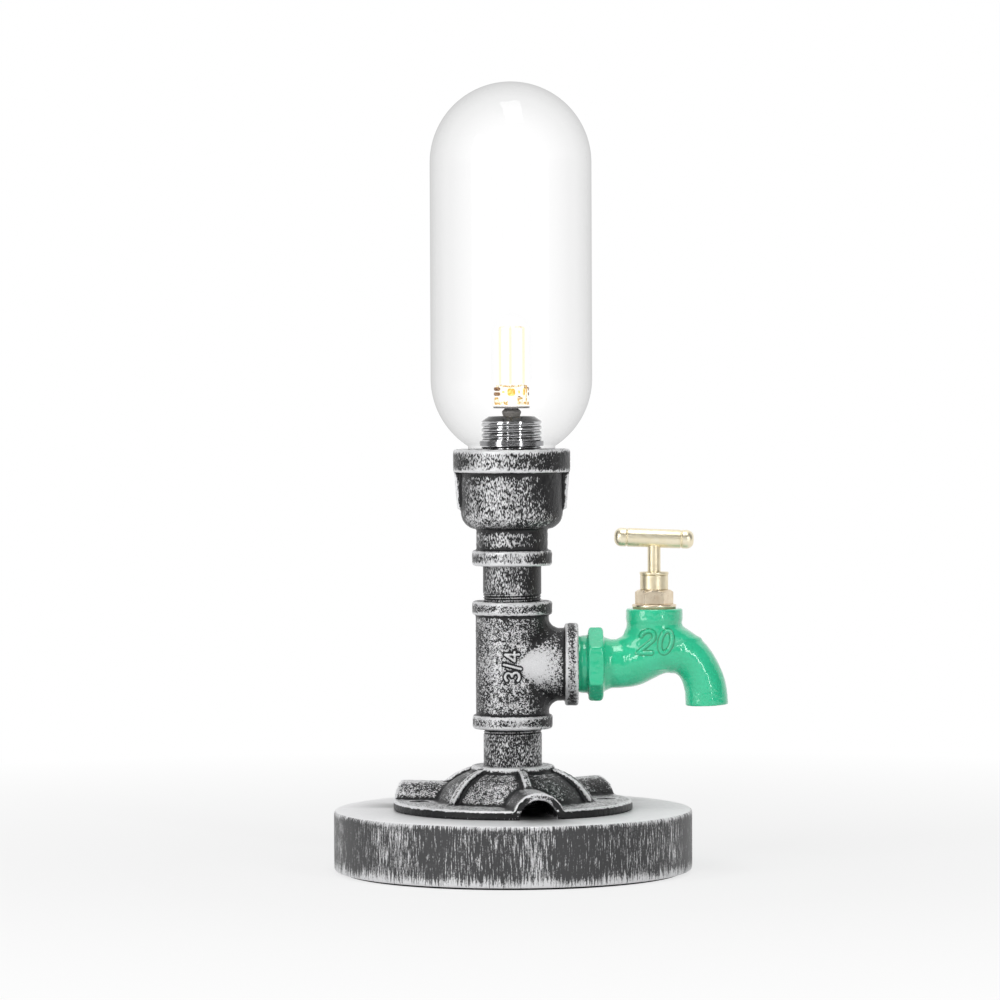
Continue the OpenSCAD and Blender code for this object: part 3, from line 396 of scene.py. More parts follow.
class Shader:
    """The nodes of a material, or of a given world, with short calls for those that this script uses."""

    def __init__(self, name, world=None):
        self.material = world or bpy.data.materials.new(name)
        self.material.use_nodes = True
        self.tree = self.material.node_tree
        self.tree.nodes.clear()
        self.out = self.node("OutputWorld" if world else "OutputMaterial")
        self.coordinates = self.node("TexCoord").outputs
        self.place = self.coordinates["Object"]

    def node(self, kind, inputs=None, **settings):
        n = self.tree.nodes.new("ShaderNode" + kind)
        for key, value in settings.items():
            setattr(n, key, value)
        for key, value in (inputs or {}).items():
            self.plug(n.inputs[key], value)
        return n

    def plug(self, socket, value):
        if isinstance(value, bpy.types.NodeSocket):
            self.tree.links.new(value, socket)
        elif value is not None:
            socket.default_value = value

    def math(self, operation, a, b=None, c=None, clamp=False):
        n = self.node("Math", {0: a, 1: b, 2: c}, operation=operation)
        n.use_clamp = clamp
        return n.outputs[0]

    def scaled(self, factors):
        """Object coordinates in millimetres times a factor for each axis."""
        return self.node("VectorMath", {0: self.place, 1: [f / MM for f in factors]},
                         operation="MULTIPLY").outputs[0]

    def noise(self, scale, detail=2.0, roughness=0.5, stretch=(1, 1, 1), distortion=0.0):
        """Noise with so many lumps in each millimetre."""
        return self.node("TexNoise", {
            "Vector": self.scaled([scale * s for s in stretch]), "Scale": 1.0, "Detail": detail,
            "Roughness": roughness, "Distortion": distortion}).outputs["Fac"]

    def ramp(self, value, *stops):
        n = self.node("ValToRGB", {"Fac": value})
        elements = n.color_ramp.elements
        elements.remove(elements[1])
        elements[0].position = stops[0][0]
        for i, (at, level_there) in enumerate(stops):
            e = elements.new(at) if i else elements[0]
            e.color = (level_there, level_there, level_there, 1)
        return n.outputs["Color"]

    def range(self, value, low, high, to_low=0.0, to_high=1.0):
        n = self.node("MapRange", {
            "Value": value, "From Min": low, "From Max": high, "To Min": to_low, "To Max": to_high})
        return n.outputs[0]

    def mix(self, fac, a, b):
        n = self.node("Mix", data_type="RGBA")
        self.plug(n.inputs["Factor"], fac)
        self.plug(n.inputs[6], (*a, 1) if isinstance(a, tuple) else a)
        self.plug(n.inputs[7], (*b, 1) if isinstance(b, tuple) else b)
        return n.outputs[2]

    def bump(self, height, strength, distance):
        return self.node("Bump", {
            "Height": height, "Strength": strength, "Distance": distance * MM}).outputs[0]

    def attribute(self, name):
        return self.node("Attribute", attribute_name=name).outputs["Fac"]

    def upward(self):
        """Share of a surface's normal that points up."""
        return self.node("SeparateXYZ", {0: self.node("NewGeometry").outputs["Normal"]}).outputs[2]

    def from_axis(self):
        """Distance from the upright axis in millimetres."""
        return self.node("VectorMath", {0: self.scaled((1, 1, 0))}, operation="LENGTH").outputs["Value"]

    def seen(self):
        """One for the rays that show the background: from the camera, mirrored or passed by glass."""
        path = self.node("LightPath").outputs
        return self.math("MAXIMUM", path["Is Camera Ray"], self.math(
            "MAXIMUM", path["Is Glossy Ray"], path["Is Transmission Ray"]))

    def show(self, shader):
        """Makes this shader node the one that shows."""
        self.tree.links.new(shader.outputs[0], self.out.inputs["Surface"])
        return self.material

    def surface(self, **values):
        """Principled surface. Keys are its socket names with underscores."""
        n = self.node("BsdfPrincipled")
        for key, value in values.items():
            value = (*value, 1) if isinstance(value, tuple) and len(value) == 3 else value
            self.plug(n.inputs[key.replace("_", " ")], value)
        return self.show(n)


BLACK = (0.008, 0.008, 0.009)
SILVER = (0.86, 0.86, 0.87)
PAINTED_LIGHT_SIDES = Vector((-0.35, -0.94, 0.0))  # the two opposite sides painted lighter, front left and back right, as painted light


def silvered_iron(name, amount, grain, streak=1.0, wiggle=0.0, broad_gain=0.6, painted_top_light_gain=0.16, painted_light_gain=0.3,
                  soft=0.04, rim_r=None):
    """Black paint on a casting, with silver laid on dryly over all that stands out.

    Upward faces and the two sides facing front left and back right take more silver, as painted light.
    Broad raised forms take more and brighter silver and deep corners less, partly dry brushing and partly
    painted light and shade. Upright faces beyond the radius rim_r stay almost black."""
    s = Shader(name)
    speck = s.noise(grain, 2, 0.45, (1, 1, 1 / streak), wiggle)
    patches = s.noise(0.11, 2, 0.5)
    normal = s.node("NewGeometry").outputs["Normal"]
    up_z = s.upward()
    # Upward faces take more silver: painted top light.
    up = s.range(up_z, 0.88, 0.99, 0.0, painted_top_light_gain)
    # More silver on the sides facing front left and back right: painted light.
    painted_light_side = s.math("ABSOLUTE", s.node(
        "VectorMath", {0: normal, 1: PAINTED_LIGHT_SIDES}, operation="DOT_PRODUCT").outputs["Value"])
    ridge = s.math("MINIMUM", s.math("MULTIPLY", s.attribute("ridge"), 2.2), 0.12)
    # Silver follows broad forms, raised bands lighter and deep corners darker: partly dry brushing, partly
    # painted light and shade.
    broad = s.math("MULTIPLY_ADD", s.attribute("broad"), broad_gain, up)
    sides = s.math("MULTIPLY", s.math("SUBTRACT", painted_light_side, 0.66), painted_light_gain)
    if rim_r:
        rim = s.math("MULTIPLY", s.range(s.from_axis(), rim_r - 1.2, rim_r - 0.7), s.range(up_z, 0.3, 0.1))
        sides = s.math("MULTIPLY_ADD", rim, -0.5, sides)
    cover = s.math("ADD", s.math("MULTIPLY_ADD", s.math("SUBTRACT", patches, 0.5), 0.3, speck),
                   s.math("ADD", s.math("ADD", ridge, broad), sides))
    half = 0.65 - 0.2 * amount
    mask = s.range(cover, half - soft, half + soft)
    # Brighter silver on broad raised forms, partly a painted highlight.
    thick = s.math("MULTIPLY_ADD", s.attribute("broad"), 0.7, s.noise(3.1, 2), clamp=True)
    tone = s.mix(thick, (0.45, 0.45, 0.46), SILVER)
    return s.surface(
        Base_Color=s.mix(mask, BLACK, tone),
        Metallic=s.math("MULTIPLY", mask, s.range(up_z, 0.5, 0.9, 0.75, 0.35)),
        Roughness=s.range(mask, 0, 1, 0.36, 0.42),
        Specular_IOR_Level=0.35,
        Normal=s.bump(s.math("MULTIPLY_ADD", ridge, 0.5, speck), 0.9, 0.2))


def painted_wood():
    """Black paint on turned wood, with fine silver streaks up its side, and a pale top with painted shade by
    the flange, most of it before the three arches."""
    s = Shader("painted_wood")
    x, y, z = s.node("SeparateXYZ", {0: s.scaled((1, 1, 1))}).outputs
    across = s.math("MULTIPLY", s.math("ARCTAN2", y, x), BASE_R)
    fibre = s.node("CombineXYZ", {
        0: s.math("MULTIPLY", across, 1.9), 1: s.math("MULTIPLY", z, 0.13)})
    streaks = s.node("TexNoise", {
        "Vector": fibre.outputs[0], "Scale": 1.0, "Detail": 3.0, "Roughness": 0.6}).outputs["Fac"]
    low = s.range(z, BASE_Z0, BASE_Z0 + 4.6, 0.27, 0.0)
    high = s.range(z, BASE_Z1 - 2.0, BASE_Z1, 0.0, 0.2)
    patches = s.math("MULTIPLY", s.math("SUBTRACT", s.noise(0.05, 3, 0.6, (1, 1, 0.3)), 0.5), 0.5)
    flecks = s.math("MULTIPLY", s.math("SUBTRACT", s.noise(2.0, 2, 0.6, (1, 1, 0.6)), 0.5), 0.35)
    wear_and_highlight = s.math("ADD", s.math("ADD", streaks, s.math("MAXIMUM", low, high)),
                  s.math("ADD", patches, flecks))
    side = s.range(wear_and_highlight, 0.55, 0.69)
    up = s.range(s.upward(), 0.82, 0.97)
    top = s.mix(s.range(s.noise(0.6, 5, 0.7), 0.3, 0.8), (0.84, 0.84, 0.85), (0.95, 0.95, 0.96))
    # Painted shade on the top round the flange, strongest before each of the three arches.
    flange_r = half_width("flange")
    arches = s.math("COSINE", s.math(
        "MULTIPLY_ADD", s.math("ARCTAN2", y, x), 3.0, math.radians(3 * ARCH_TURN)))
    near = s.range(s.math("MULTIPLY_ADD", s.noise(0.3, 3), 4.0, s.from_axis()),
                   flange_r, flange_r + 24, 0.95, 0.0)
    painted_shade = s.math("MULTIPLY", near, s.range(arches, 0.75, 0.98, 0.3, 1.0))
    top = s.mix(painted_shade, top, (0.1, 0.1, 0.1))
    return s.surface(
        Base_Color=s.mix(up, s.mix(side, (0.05, 0.05, 0.052), (0.72, 0.72, 0.73)), top),
        Metallic=s.math("MULTIPLY", side, s.range(up, 0, 1, 0.3, 0.0)),
        Roughness=s.range(side, 0, 1, 0.45, 0.38),
        Specular_IOR_Level=0.4,
        Normal=s.bump(streaks, 0.4, 0.2))


def green_enamel():
    """Thick glossy enamel, lighter on edges and raised digits as painted highlight, and darker in hollows and
    next to the digits as painted shade.
    """
    s = Shader("green_enamel")
    tone = s.mix(s.noise(0.12, 2), (0.02, 0.52, 0.25), (0.04, 0.64, 0.36))
    ridge = s.math("MULTIPLY_ADD", s.noise(1.5, 3), 0.04, s.attribute("ridge"))
    # Darker green in hollows and next to the digits: painted shade.
    painted_shade_green = s.mix(s.range(ridge, 0.0, -0.06), tone, (0.006, 0.3, 0.13))
    # Lighter green on edges and on the digits' tops: painted highlight.
    return s.surface(
        Base_Color=s.mix(s.range(ridge, 0.1, 0.2, 0.0, 0.8), painted_shade_green, (0.25, 0.72, 0.5)),
        Roughness=s.range(s.noise(0.5, 2), 0.3, 0.7, 0.16, 0.3),
        Specular_IOR_Level=0.4, Coat_Weight=0.9, Coat_Roughness=0.04,
        Normal=s.bump(s.math("MULTIPLY_ADD", s.noise(1.4, 2), 0.35, s.noise(0.35, 2)), 0.5, 0.25))


def brass(name, colour=(0.86, 0.75, 0.5), pale=(0.98, 0.92, 0.75), rough=0.36, marks_z=9):
    """Bare brass, patchy between two colours, with marks drawn out across Z."""
    s = Shader(name)
    marks = s.noise(0.9, 3, 0.6, (1, 1, marks_z))
    stain = s.noise(0.35, 3)
    return s.surface(
        Base_Color=s.mix(stain, colour, pale),
        Metallic=1.0,
        Roughness=s.range(marks, 0.3, 0.7, rough - 0.05, rough + 0.1),
        Normal=s.bump(marks, 0.35, 0.06))


def steel(name, colour, rough=0.3):
    s = Shader(name)
    marks = s.noise(1.2, 3, 0.6, (1, 1, 6))
    return s.surface(
        Base_Color=s.mix(marks, colour, tuple(min(1.0, c * 1.3) for c in colour)),
        Metallic=1.0,
        Roughness=s.range(marks, 0.3, 0.7, rough * 0.8, rough * 1.3),
        Normal=s.bump(marks, 0.15, 0.03))


def thread_steel(name, colour, dark):
    """Bright steel, dark on its upward broken edge and in its thread grooves as painted shade."""
    s = Shader(name)
    marks = s.noise(1.2, 3, 0.6, (1, 1, 6))
    # Painted shade: dark on faces that look up and in the thread grooves.
    painted_shade = s.math("MAXIMUM", s.range(s.upward(), 0.4, 0.6), s.range(s.attribute("ridge"), -0.02, -0.08))
    return s.surface(
        Base_Color=s.mix(painted_shade, s.mix(marks, colour, tuple(c * 1.3 for c in colour)), dark),
        Metallic=1.0,
        Roughness=s.range(marks, 0.3, 0.7, 0.07, 0.13),
        Normal=s.bump(marks, 0.15, 0.03))


def plain(name, colour, rough=0.5, grain=1.5, depth=0.05, spread=1.25, **more):
    """Moulded or woven stuff with a fine grain and a slight change of tone."""
    s = Shader(name)
    fine = s.noise(grain, 3)
    return s.surface(
        Base_Color=s.mix(s.noise(grain / 6, 2), colour, tuple(min(1.0, c * spread) for c in colour)),
        Roughness=s.range(fine, 0.3, 0.7, rough - 0.06, rough + 0.06),
        Normal=s.bump(fine, 0.3, depth), **more)


def clear_glass(name, *tints, gloss):
    """Thin clear glass. Each tint is how far it is turned from sight, and the share that it lets through."""
    s = Shader(name)
    facing = s.node("LayerWeight", {"Blend": 0.5}).outputs["Facing"]
    body = s.node("BsdfTransparent", {"Color": s.ramp(facing, *tints)})
    share = s.math("MULTIPLY_ADD", s.math("POWER", facing, 4.0), 5 * gloss, gloss)
    shine = s.node("CombineColor", {0: share, 1: share, 2: share})
    gloss_bsdf = s.node("BsdfGlossy", {"Color": shine.outputs[0], "Roughness": 0.0})
    return s.show(s.node("AddShader", {0: body.outputs[0], 1: gloss_bsdf.outputs[0]}))


def mottled(name, dark, pale, grain=0.6, glow=0.45):
    """Small bright parts of a lit bulb, patchy between two colours, that glow as painted light though they
    are no lamp.
    """
    s = Shader(name)
    tone = s.mix(s.range(s.noise(grain, 2), 0.42, 0.58), dark, pale)
    # The glow stands in for the light of the sticks on these parts: painted light.
    return s.surface(Base_Color=tone, Roughness=0.4, Emission_Color=tone, Emission_Strength=glow)


def glowing(name, colour, strength):
    s = Shader(name)
    dots = s.range(s.noise(1.1, 1), 0.35, 0.65, 0.8, 1.0)
    return s.surface(
        Base_Color=(0.02, 0.02, 0.01), Roughness=0.8,
        Emission_Color=s.mix(dots, tuple(c * 0.94 for c in colour), colour), Emission_Strength=strength)


# Base

def wood_base():
    recess_r, hole_r, edge = half_width("felt_pad") - 38, 7, 1.4
    recess_z = BASE_Z0 + 15
    bush_r, bush_y, bush_z = 4.85, 20, 9.5
    line = rounded([
        (hole_r, recess_z, 0), (hole_r, BASE_Z1, 0), (BASE_R, BASE_Z1, edge), (BASE_R, BASE_Z0, edge),
        (recess_r, BASE_Z0, 0), (recess_r, recess_z, 0)], 6)
    obj = turned("wood_base", dense(line, 2.0, closed=True), 360)
    lie = Matrix.Translation((0, bush_y, bush_z)) @ Matrix.Rotation(math.radians(-90), 4, "X")
    cut(obj, turned("bush_hole", [(0, 0), (bush_r, 0), (bush_r, BASE_R), (0, BASE_R)], 48, closed=False,
                    place=lie))
    return dress(obj, painted_wood(), "root", "base_disc")


# Pipes

def pipe_thread(z_from, z_to, depth=0.55, fade=1.0):
    """Radius function of a pipe whose thread runs from one height to another and fades out."""
    def shape(r, z, angles):
        if r < PIPE_R - 0.5:
            return np.full(len(angles), r)
        turn = (z - z_from) / THREAD_PITCH - angles / (2 * math.pi)
        wave = np.abs((turn % 1) - 0.5) * 2
        cutting = min(max((z - z_from) / fade, 0), 1) * min(max((z_to - z) / fade, 0), 1)
        return r - depth * np.minimum(wave * 1.25, 1) * cutting
    return shape


def nipple(name, node, z_from, z_to, material):
    z0, z1 = level(node), level(node, top=True)
    inner = PIPE_R - PIPE_WALL
    line = [(inner, z0), (inner, z1), (PIPE_R, z1)] + dense([(PIPE_R, z1), (PIPE_R, z0)], 0.22)
    obj = turned(name, line, FINE, shape=pipe_thread(z_from, z_to))
    mark_ridges(obj, 4)
    return dress(obj, material, "root", node)


# Cast fittings

def casting(name, parts, material, node, voxel, soft, lumps, seed, marks=(), mark_r=0.6, mark_gain=1.0,
            wear_and_highlight=()):
    """Cast piece: its parts grown together, with rounded edges and the skin that sand leaves."""
    obj = joined(name, parts)
    remeshed(obj, voxel)
    softened(obj, soft)
    lumpy(obj, lumps, 2.2, seed)
    mark_ridges(obj, 4, marks, mark_r, mark_gain, 40, wear_and_highlight)
    return dress(obj, material, "root", node)


def strokes(marks, at, size, slant, surface, r):
    """Raised strokes laid on a surface that faces the front, and the points of their middle lines.

    Marks are lines in a unit square."""
    out, lines = [], []
    for mark in marks:
        points = []
        for u, v in mark:
            x, z = at[0] + (u + slant * (v - 0.5)) * size[0], at[1] + v * size[1]
            hit = surface.ray_cast(Vector((x, -60, z)) * MM, Vector((0, 1, 0)))[0]
            points.append(Vector((x, hit.y / MM, z)))
        out.append(tube("stroke", points, r, 8))
        for a, b in zip(points, points[1:]):
            n = max(1, round((b - a).length / 0.2))
            lines += [a.lerp(b, i / n) for i in range(n)]
    return out, lines


def bow(cx, cy, rx, ry, a0, a1, steps=12):
    return [(cx + rx * math.cos(math.radians(a0 + (a1 - a0) * i / steps)),
             cy + ry * math.sin(math.radians(a0 + (a1 - a0) * i / steps))) for i in range(steps + 1)]


def straight(*points, steps=5):
    out = []
    for (x0, y0), (x1, y1) in zip(points, points[1:]):
        out += [(x0 + (x1 - x0) * i / steps, y0 + (y1 - y0) * i / steps) for i in range(steps)]
    return out + [points[-1]]


DIGITS = {
    "0": [bow(0.5, 0.5, 0.42, 0.5, 90, 450, 24)],
    "2": [bow(0.5, 0.72, 0.42, 0.28, 170, -30) + straight((0.82, 0.55), (0.06, 0.0), (0.95, 0.0))],
    "3": [bow(0.48, 0.75, 0.4, 0.25, 150, -80) + bow(0.48, 0.26, 0.44, 0.26, 80, -150)],
    "4": [straight((0.95, 0.33), (0.05, 0.33), (0.7, 1.0), (0.7, 0.0))],
    "/": [straight((0.1, -0.1), (0.9, 1.1))],
}


def number(text, widths, gap):
    """Strokes of a short number in a unit square."""
    total = sum(widths) + gap * (len(text) - 1)
    out, x = [], 0.0
    for sign, width in zip(text, widths):
        for mark in DIGITS[sign]:
            out.append([((x + u * width) / total, v) for u, v in mark])
        x += width + gap
    return out


def tree_of(obj):
    return BVHTree.FromPolygons([v.co.copy() for v in obj.data.vertices],
                                [tuple(p.vertices) for p in obj.data.polygons])


def tee(material):
    core = copy_of("tee")
    surface = tree_of(core)
    size, stroke_r = (5.9, 12.6), 0.42
    at = (-3.1, BRANCH_Z - size[1] / 2)
    marks = [[(1 - v, u) for u, v in mark] for mark in number("3/4", (1, 0.55, 1), 0.25)]
    digits, lines = strokes(marks, at, size, 0, surface, stroke_r)
    # A spot of painted highlight on the front of the branch, given as more silver there.
    wear_and_highlight = [((9.5, -TEE_R, BRANCH_Z), 8, 0.31)]
    return casting("cast_tee", [core] + digits, material, "tee", voxel=0.33, soft=2, lumps=0.1, seed=2,
                   marks=lines, mark_r=stroke_r, wear_and_highlight=wear_and_highlight)


# Tap

# Rows of its tube: shares of the reach and of the drop, slope in degrees, half height and half width as
# shares of the neck's or the spout's radius
NECK = [
    (-0.034, 0, 0, 1.19, 1.19), (0.034, 0, 0, 1.063, 1.063), (0.08, 0.01, 0, 1, 1),
    (0.182, 0.02, 0, 0.995, 0.995), (0.296, 0.078, 12, 1.005, 1.05), (0.433, 0.205, 14, 0.947, 1.1),
    (0.574, 0.303, 5, 0.889, 1.08), (0.697, 0.315, -12, 0.937, 1.025),
]
SPOUT = [
    (0.79, 0.228, -27, 1.095, 1.18), (0.886, -0.032, -47, 1.036, 1.11), (0.959, -0.442, -70, 1.042, 1.06),
    (0.981, -0.76, -83, 1.06, 1.05), (0.9863, -1, -88, 1.0714, 1.05),
]
# Rows of its boss: shares of the reach and of the rise, half length and half width as shares of its radius
BOSS = [
    (0.444, -0.092, 0.84, 0.8), (0.508, 0.272, 1.387, 0.94), (0.535, 0.4347, 1.504, 0.958),
    (0.538, 0.5075, 1.311, 0.962), (0.516, 0.593, 1.155, 0.966), (0.492, 0.679, 1, 0.966),
    (0.4875, 0.7645, 0.97, 0.97),
]
# Corners of the waterway in the spout: shares of the reach and of the drop
WATERWAY = [(0.82, 0.3), (0.955, -0.3), (0.986, -1.1)]
TAP_REACH = 43.9
TAP_DROP = 17.3
TAP_RISE = 23.35
TAP_NECK_R = 10.35
TAP_SPOUT_R = 8.4
TAP_HEX_AF = 27
TAP_HEX_W = 6.4
TAP_HEX_X = 31.6
TAP_HEX_X1 = TAP_HEX_X + TAP_HEX_W
TAP_BOSS_R = 11.9
TAP_SEAT_DEPTH = 15
TAP_SEAT_R = 4.6
TAP_CHAMBER_R = 7.4
TAP_WAY_R = 5.6


def between(rows, steps):
    """Rows of numbers with smooth ones between them."""
    rows = np.array(rows, float)
    out = []
    for i in range(len(rows) - 1):
        p0, p1 = rows[max(i - 1, 0)], rows[i]
        p2, p3 = rows[i + 1], rows[min(i + 2, len(rows) - 1)]
        for k in range(steps):
            t = k / steps
            out.append(0.5 * (2 * p1 + (p2 - p0) * t + (2 * p0 - 5 * p1 + 4 * p2 - p3) * t ** 2
                              + (3 * p1 - p0 - 3 * p2 + p3) * t ** 3))
    return out + [rows[-1]]


def oval(x, z, slope, half, width, sides=56):
    s = math.radians(slope)
    angles = [2 * math.pi * j / sides for j in range(sides)]
    return [(x - half * math.cos(a) * math.sin(s), width * math.sin(a), z + half * math.cos(a) * math.cos(s))
            for a in angles]


def hex_shape(across_flats):
    """Radius function that cuts a round profile to a hexagon."""
    def shape(r, z, angles):
        wedge = math.pi / 3
        return np.minimum(r, across_flats / 2 / np.cos((angles % wedge) - wedge / 2))
    return shape


def tap(material):
    rows = [(TAP_HEX_X1 + s[0] * TAP_REACH, BRANCH_Z + s[1] * TAP_DROP, s[2], s[3] * r, s[4] * r)
            for rows_of, r in ((NECK, TAP_NECK_R), (SPOUT, TAP_SPOUT_R)) for s in rows_of]
    spout = lofted("tap_tube", [oval(*row) for row in between(rows, 6)])
    way = [(TAP_HEX_X1 + u * TAP_REACH, 0, BRANCH_Z + v * TAP_DROP) for u, v in between(WATERWAY, 8)]
    cut(spout, tube("waterway", way, TAP_WAY_R, 32))
    boss_rows = [(TAP_HEX_X1 + s[0] * TAP_REACH, BRANCH_Z + s[1] * TAP_RISE, 90, s[2] * TAP_BOSS_R,
                  s[3] * TAP_BOSS_R) for s in BOSS]
    boss = lofted("tap_boss", [oval(*row) for row in between(boss_rows, 6)])
    stand = Matrix.Translation((BOSS_X, 0, 0))
    ring_z0, ring_z1 = BOSS_Z1 - 5.5, BOSS_Z1 - 0.05
    ring = turned("boss_ring", rounded([
        (0, ring_z0, 0), (TAP_BOSS_R, ring_z0, 0.5), (TAP_BOSS_R, ring_z1, 0.7), (0, ring_z1, 0)]),
        96, closed=False, place=stand)
    lie = Matrix.Translation((TAP_HEX_X, 0, BRANCH_Z)) @ Matrix.Rotation(math.radians(90), 4, "Y")
    corner = TAP_HEX_AF / 2 / math.cos(math.radians(30))
    hexagon = turned("tap_hexagon", dense(rounded([
        (0, 0, 0), (corner - 1.4, 0, 0.3), (corner, 0.8, 0.3), (corner, TAP_HEX_W - 0.8, 0.3),
        (corner - 1.4, TAP_HEX_W, 0.3), (0, TAP_HEX_W, 0)]), 0.8),
        192, closed=False, shape=hex_shape(TAP_HEX_AF), place=lie)
    start, thin_r, thick_r = 15.5 - TAP_HEX_X, PIPE_R - 0.35, PIPE_R - 0.05
    spigot = turned("tap_spigot", [(0, start), (thin_r, start), (thin_r, -3.2), (thick_r, -2.6), (thick_r, 1),
                                   (0, 1)], 96, closed=False, place=lie)
    body = joined("tap_core", [spout, boss, ring, hexagon, spigot])
    remeshed(body, 0.5)
    seat_z, over = BOSS_Z1 - TAP_SEAT_DEPTH, BOSS_Z1 + 2
    cut(body, turned("chamber", [
        (0, BRANCH_Z), (TAP_SEAT_R, BRANCH_Z), (TAP_SEAT_R, seat_z), (TAP_CHAMBER_R, seat_z),
        (TAP_CHAMBER_R, over), (0, over)], 96, closed=False, place=stand))
    softened(body, 2)
    at, size, slant, stroke_r = (52.6, 91.9), (14.2, 9.2), 0.12, 0.68
    digits, lines = strokes(number("20", (1, 0.9), 0.28), at, size, slant, tree_of(body), stroke_r)
    return casting("tap_casting", [body] + digits, material, "tap_body", voxel=0.33, soft=2, lumps=0.07,
                   seed=5, marks=lines, mark_r=0.5, mark_gain=0.17)


# Brass of the tap

def bonnet(material):
    z0, flat_h = level("bonnet_gasket", top=True), 1.0
    hex_z0, hex_z1 = z0 + flat_h, level("gland_packing")
    bore_r, af = 2.8, 13.9
    corner = af / 2 / math.cos(math.radians(30))
    stand = Matrix.Translation((BOSS_X, 0, 0))
    plate = turned("bonnet_plate", rounded([
        (bore_r, z0, 0), (9.25, z0, 0.2), (9.25, z0 + flat_h, 0.3), (7.6, z0 + flat_h + 0.35, 0.2),
        (bore_r, z0 + flat_h + 0.35, 0)]), 96, place=stand)
    nut = turned("bonnet_nut", dense(rounded([
        (bore_r, hex_z0, 0), (corner, hex_z0, 0), (corner, hex_z1 - 0.9, 0.3), (corner - 1.2, hex_z1, 0.3),
        (bore_r, hex_z1, 0)]), 0.8), 192, shape=hex_shape(af), place=stand)
    obj = joined("bonnet_brass", [plate, nut])
    obj.modifiers.new("edges", "BEVEL").width = 0.12 * MM
    return dress(applied(obj), material, "root", "bonnet")


def handle_bar(material):
    r = half_width("handle_bar")
    half = half_width("handle_bar", 0)
    z = (level("handle_bar") + level("handle_bar", top=True)) / 2
    end_r = 2.9
    groove_x, groove = 11.4, 0.35

    def cut_at(x):
        return [(r, x - 0.45, 0.15), (r - groove, x - 0.1, 0.15), (r - groove, x + 0.1, 0.15),
                (r, x + 0.45, 0.15)]

    bar = rounded([(r, -groove_x - 0.8, 0)] + cut_at(-groove_x) + [(r, -1.2, 0.3), (r + 0.02, 0, 0.5),
                  (r, 1.2, 0.3)] + cut_at(groove_x) + [(r, groove_x + 0.8, 0)])
    line = [(0, -half)] + arc(r - end_r, -half + end_r, end_r, -90, 0, 8) + bar
    line += arc(r - end_r, half - end_r, end_r, 0, 90, 8) + [(0, half)]
    tilt = math.radians(92.2)
    place = Matrix.Translation((BOSS_X, 0, z)) @ Matrix.Rotation(tilt, 4, "Y")
    obj = turned("cross_bar", line, 96, closed=False, place=place)
    return dress(obj, material, "handle", "handle_bar")


# Lampholder, bulb and glass

def threaded_shell(material):
    z0, z1 = level("holder_shell"), level("holder_shell", top=True)
    r, top_r, wall, pitch, depth = 12.6, 9.6, 1.3, 2.27, 0.6
    bevel_z = z1 - 2.1

    def shape(radius, z, angles):
        if radius < top_r + 0.2 or z > bevel_z:
            return np.full(len(angles), radius)
        turn = (z - z0) / pitch - angles / (2 * math.pi)
        wave = np.abs((turn % 1) - 0.5) * 2
        fade = min(max((bevel_z - z) / 0.8, 0), 1)
        return radius - depth * fade * np.clip(wave * 2.4 - 0.9, 0, 1)

    outer = dense([(r, z0), (r, bevel_z)], 0.16) + rounded([(r, bevel_z, 0), (r - 0.4, bevel_z + 0.3, 0.2),
                                                            (top_r, z1, 0.3), (top_r - wall, z1, 0)])
    line = [(5.05, z0)] + outer + [(top_r - wall, bevel_z - wall), (r - wall, bevel_z - wall - 1.5),
                                   (r - wall, z0 + 2), (5.05, z0 + 2)]
    obj = turned("threaded_shell", line, 160, shape=shape)
    mark_ridges(obj, 3)
    return dress(obj, material, "root", "holder_shell")


def glass_profile(inset):
    low, high = level("glass_shade"), level("glass_shade", top=True)
    r0 = half_width("glass_shade")
    neck = 18.25
    reach = math.sqrt(r0 ** 2 - neck ** 2)
    low_z = low + 8.4 + reach
    r = r0 - inset
    start = -math.degrees(math.acos((neck - inset) / r))
    line = [(neck - inset, low)] + arc(0, low_z, r, start, 0, 28)
    line += dense([(r, low_z), (r, high - r0)], 12)[1:-1]
    return line + arc(0, high - r0, r, 0, 90, 32)


def glass(material, inner_material):
    wall = 1.8
    obj = turned("capsule_glass", glass_profile(0) + glass_profile(wall)[::-1], 192)
    dress(obj, material, "shade", "glass_shade")
    obj.data.materials.append(inner_material)
    low, high = level("glass_shade") + 34, level("glass_shade", top=True) - half_width("glass_shade")
    for face in obj.data.polygons:
        middle_z = min(max(face.center.z, low * MM), high * MM)
        if face.normal.dot(face.center - Vector((0, 0, middle_z))) < 0:
            face.material_index = 1
    return obj


STICK_RING_R = 5.7
STICK_TURN = 26


def stick_place(i):
    """Where one of the three light sticks stands."""
    a = math.radians(STICK_TURN + 120 * i)
    return STICK_RING_R * math.cos(a), STICK_RING_R * math.sin(a)


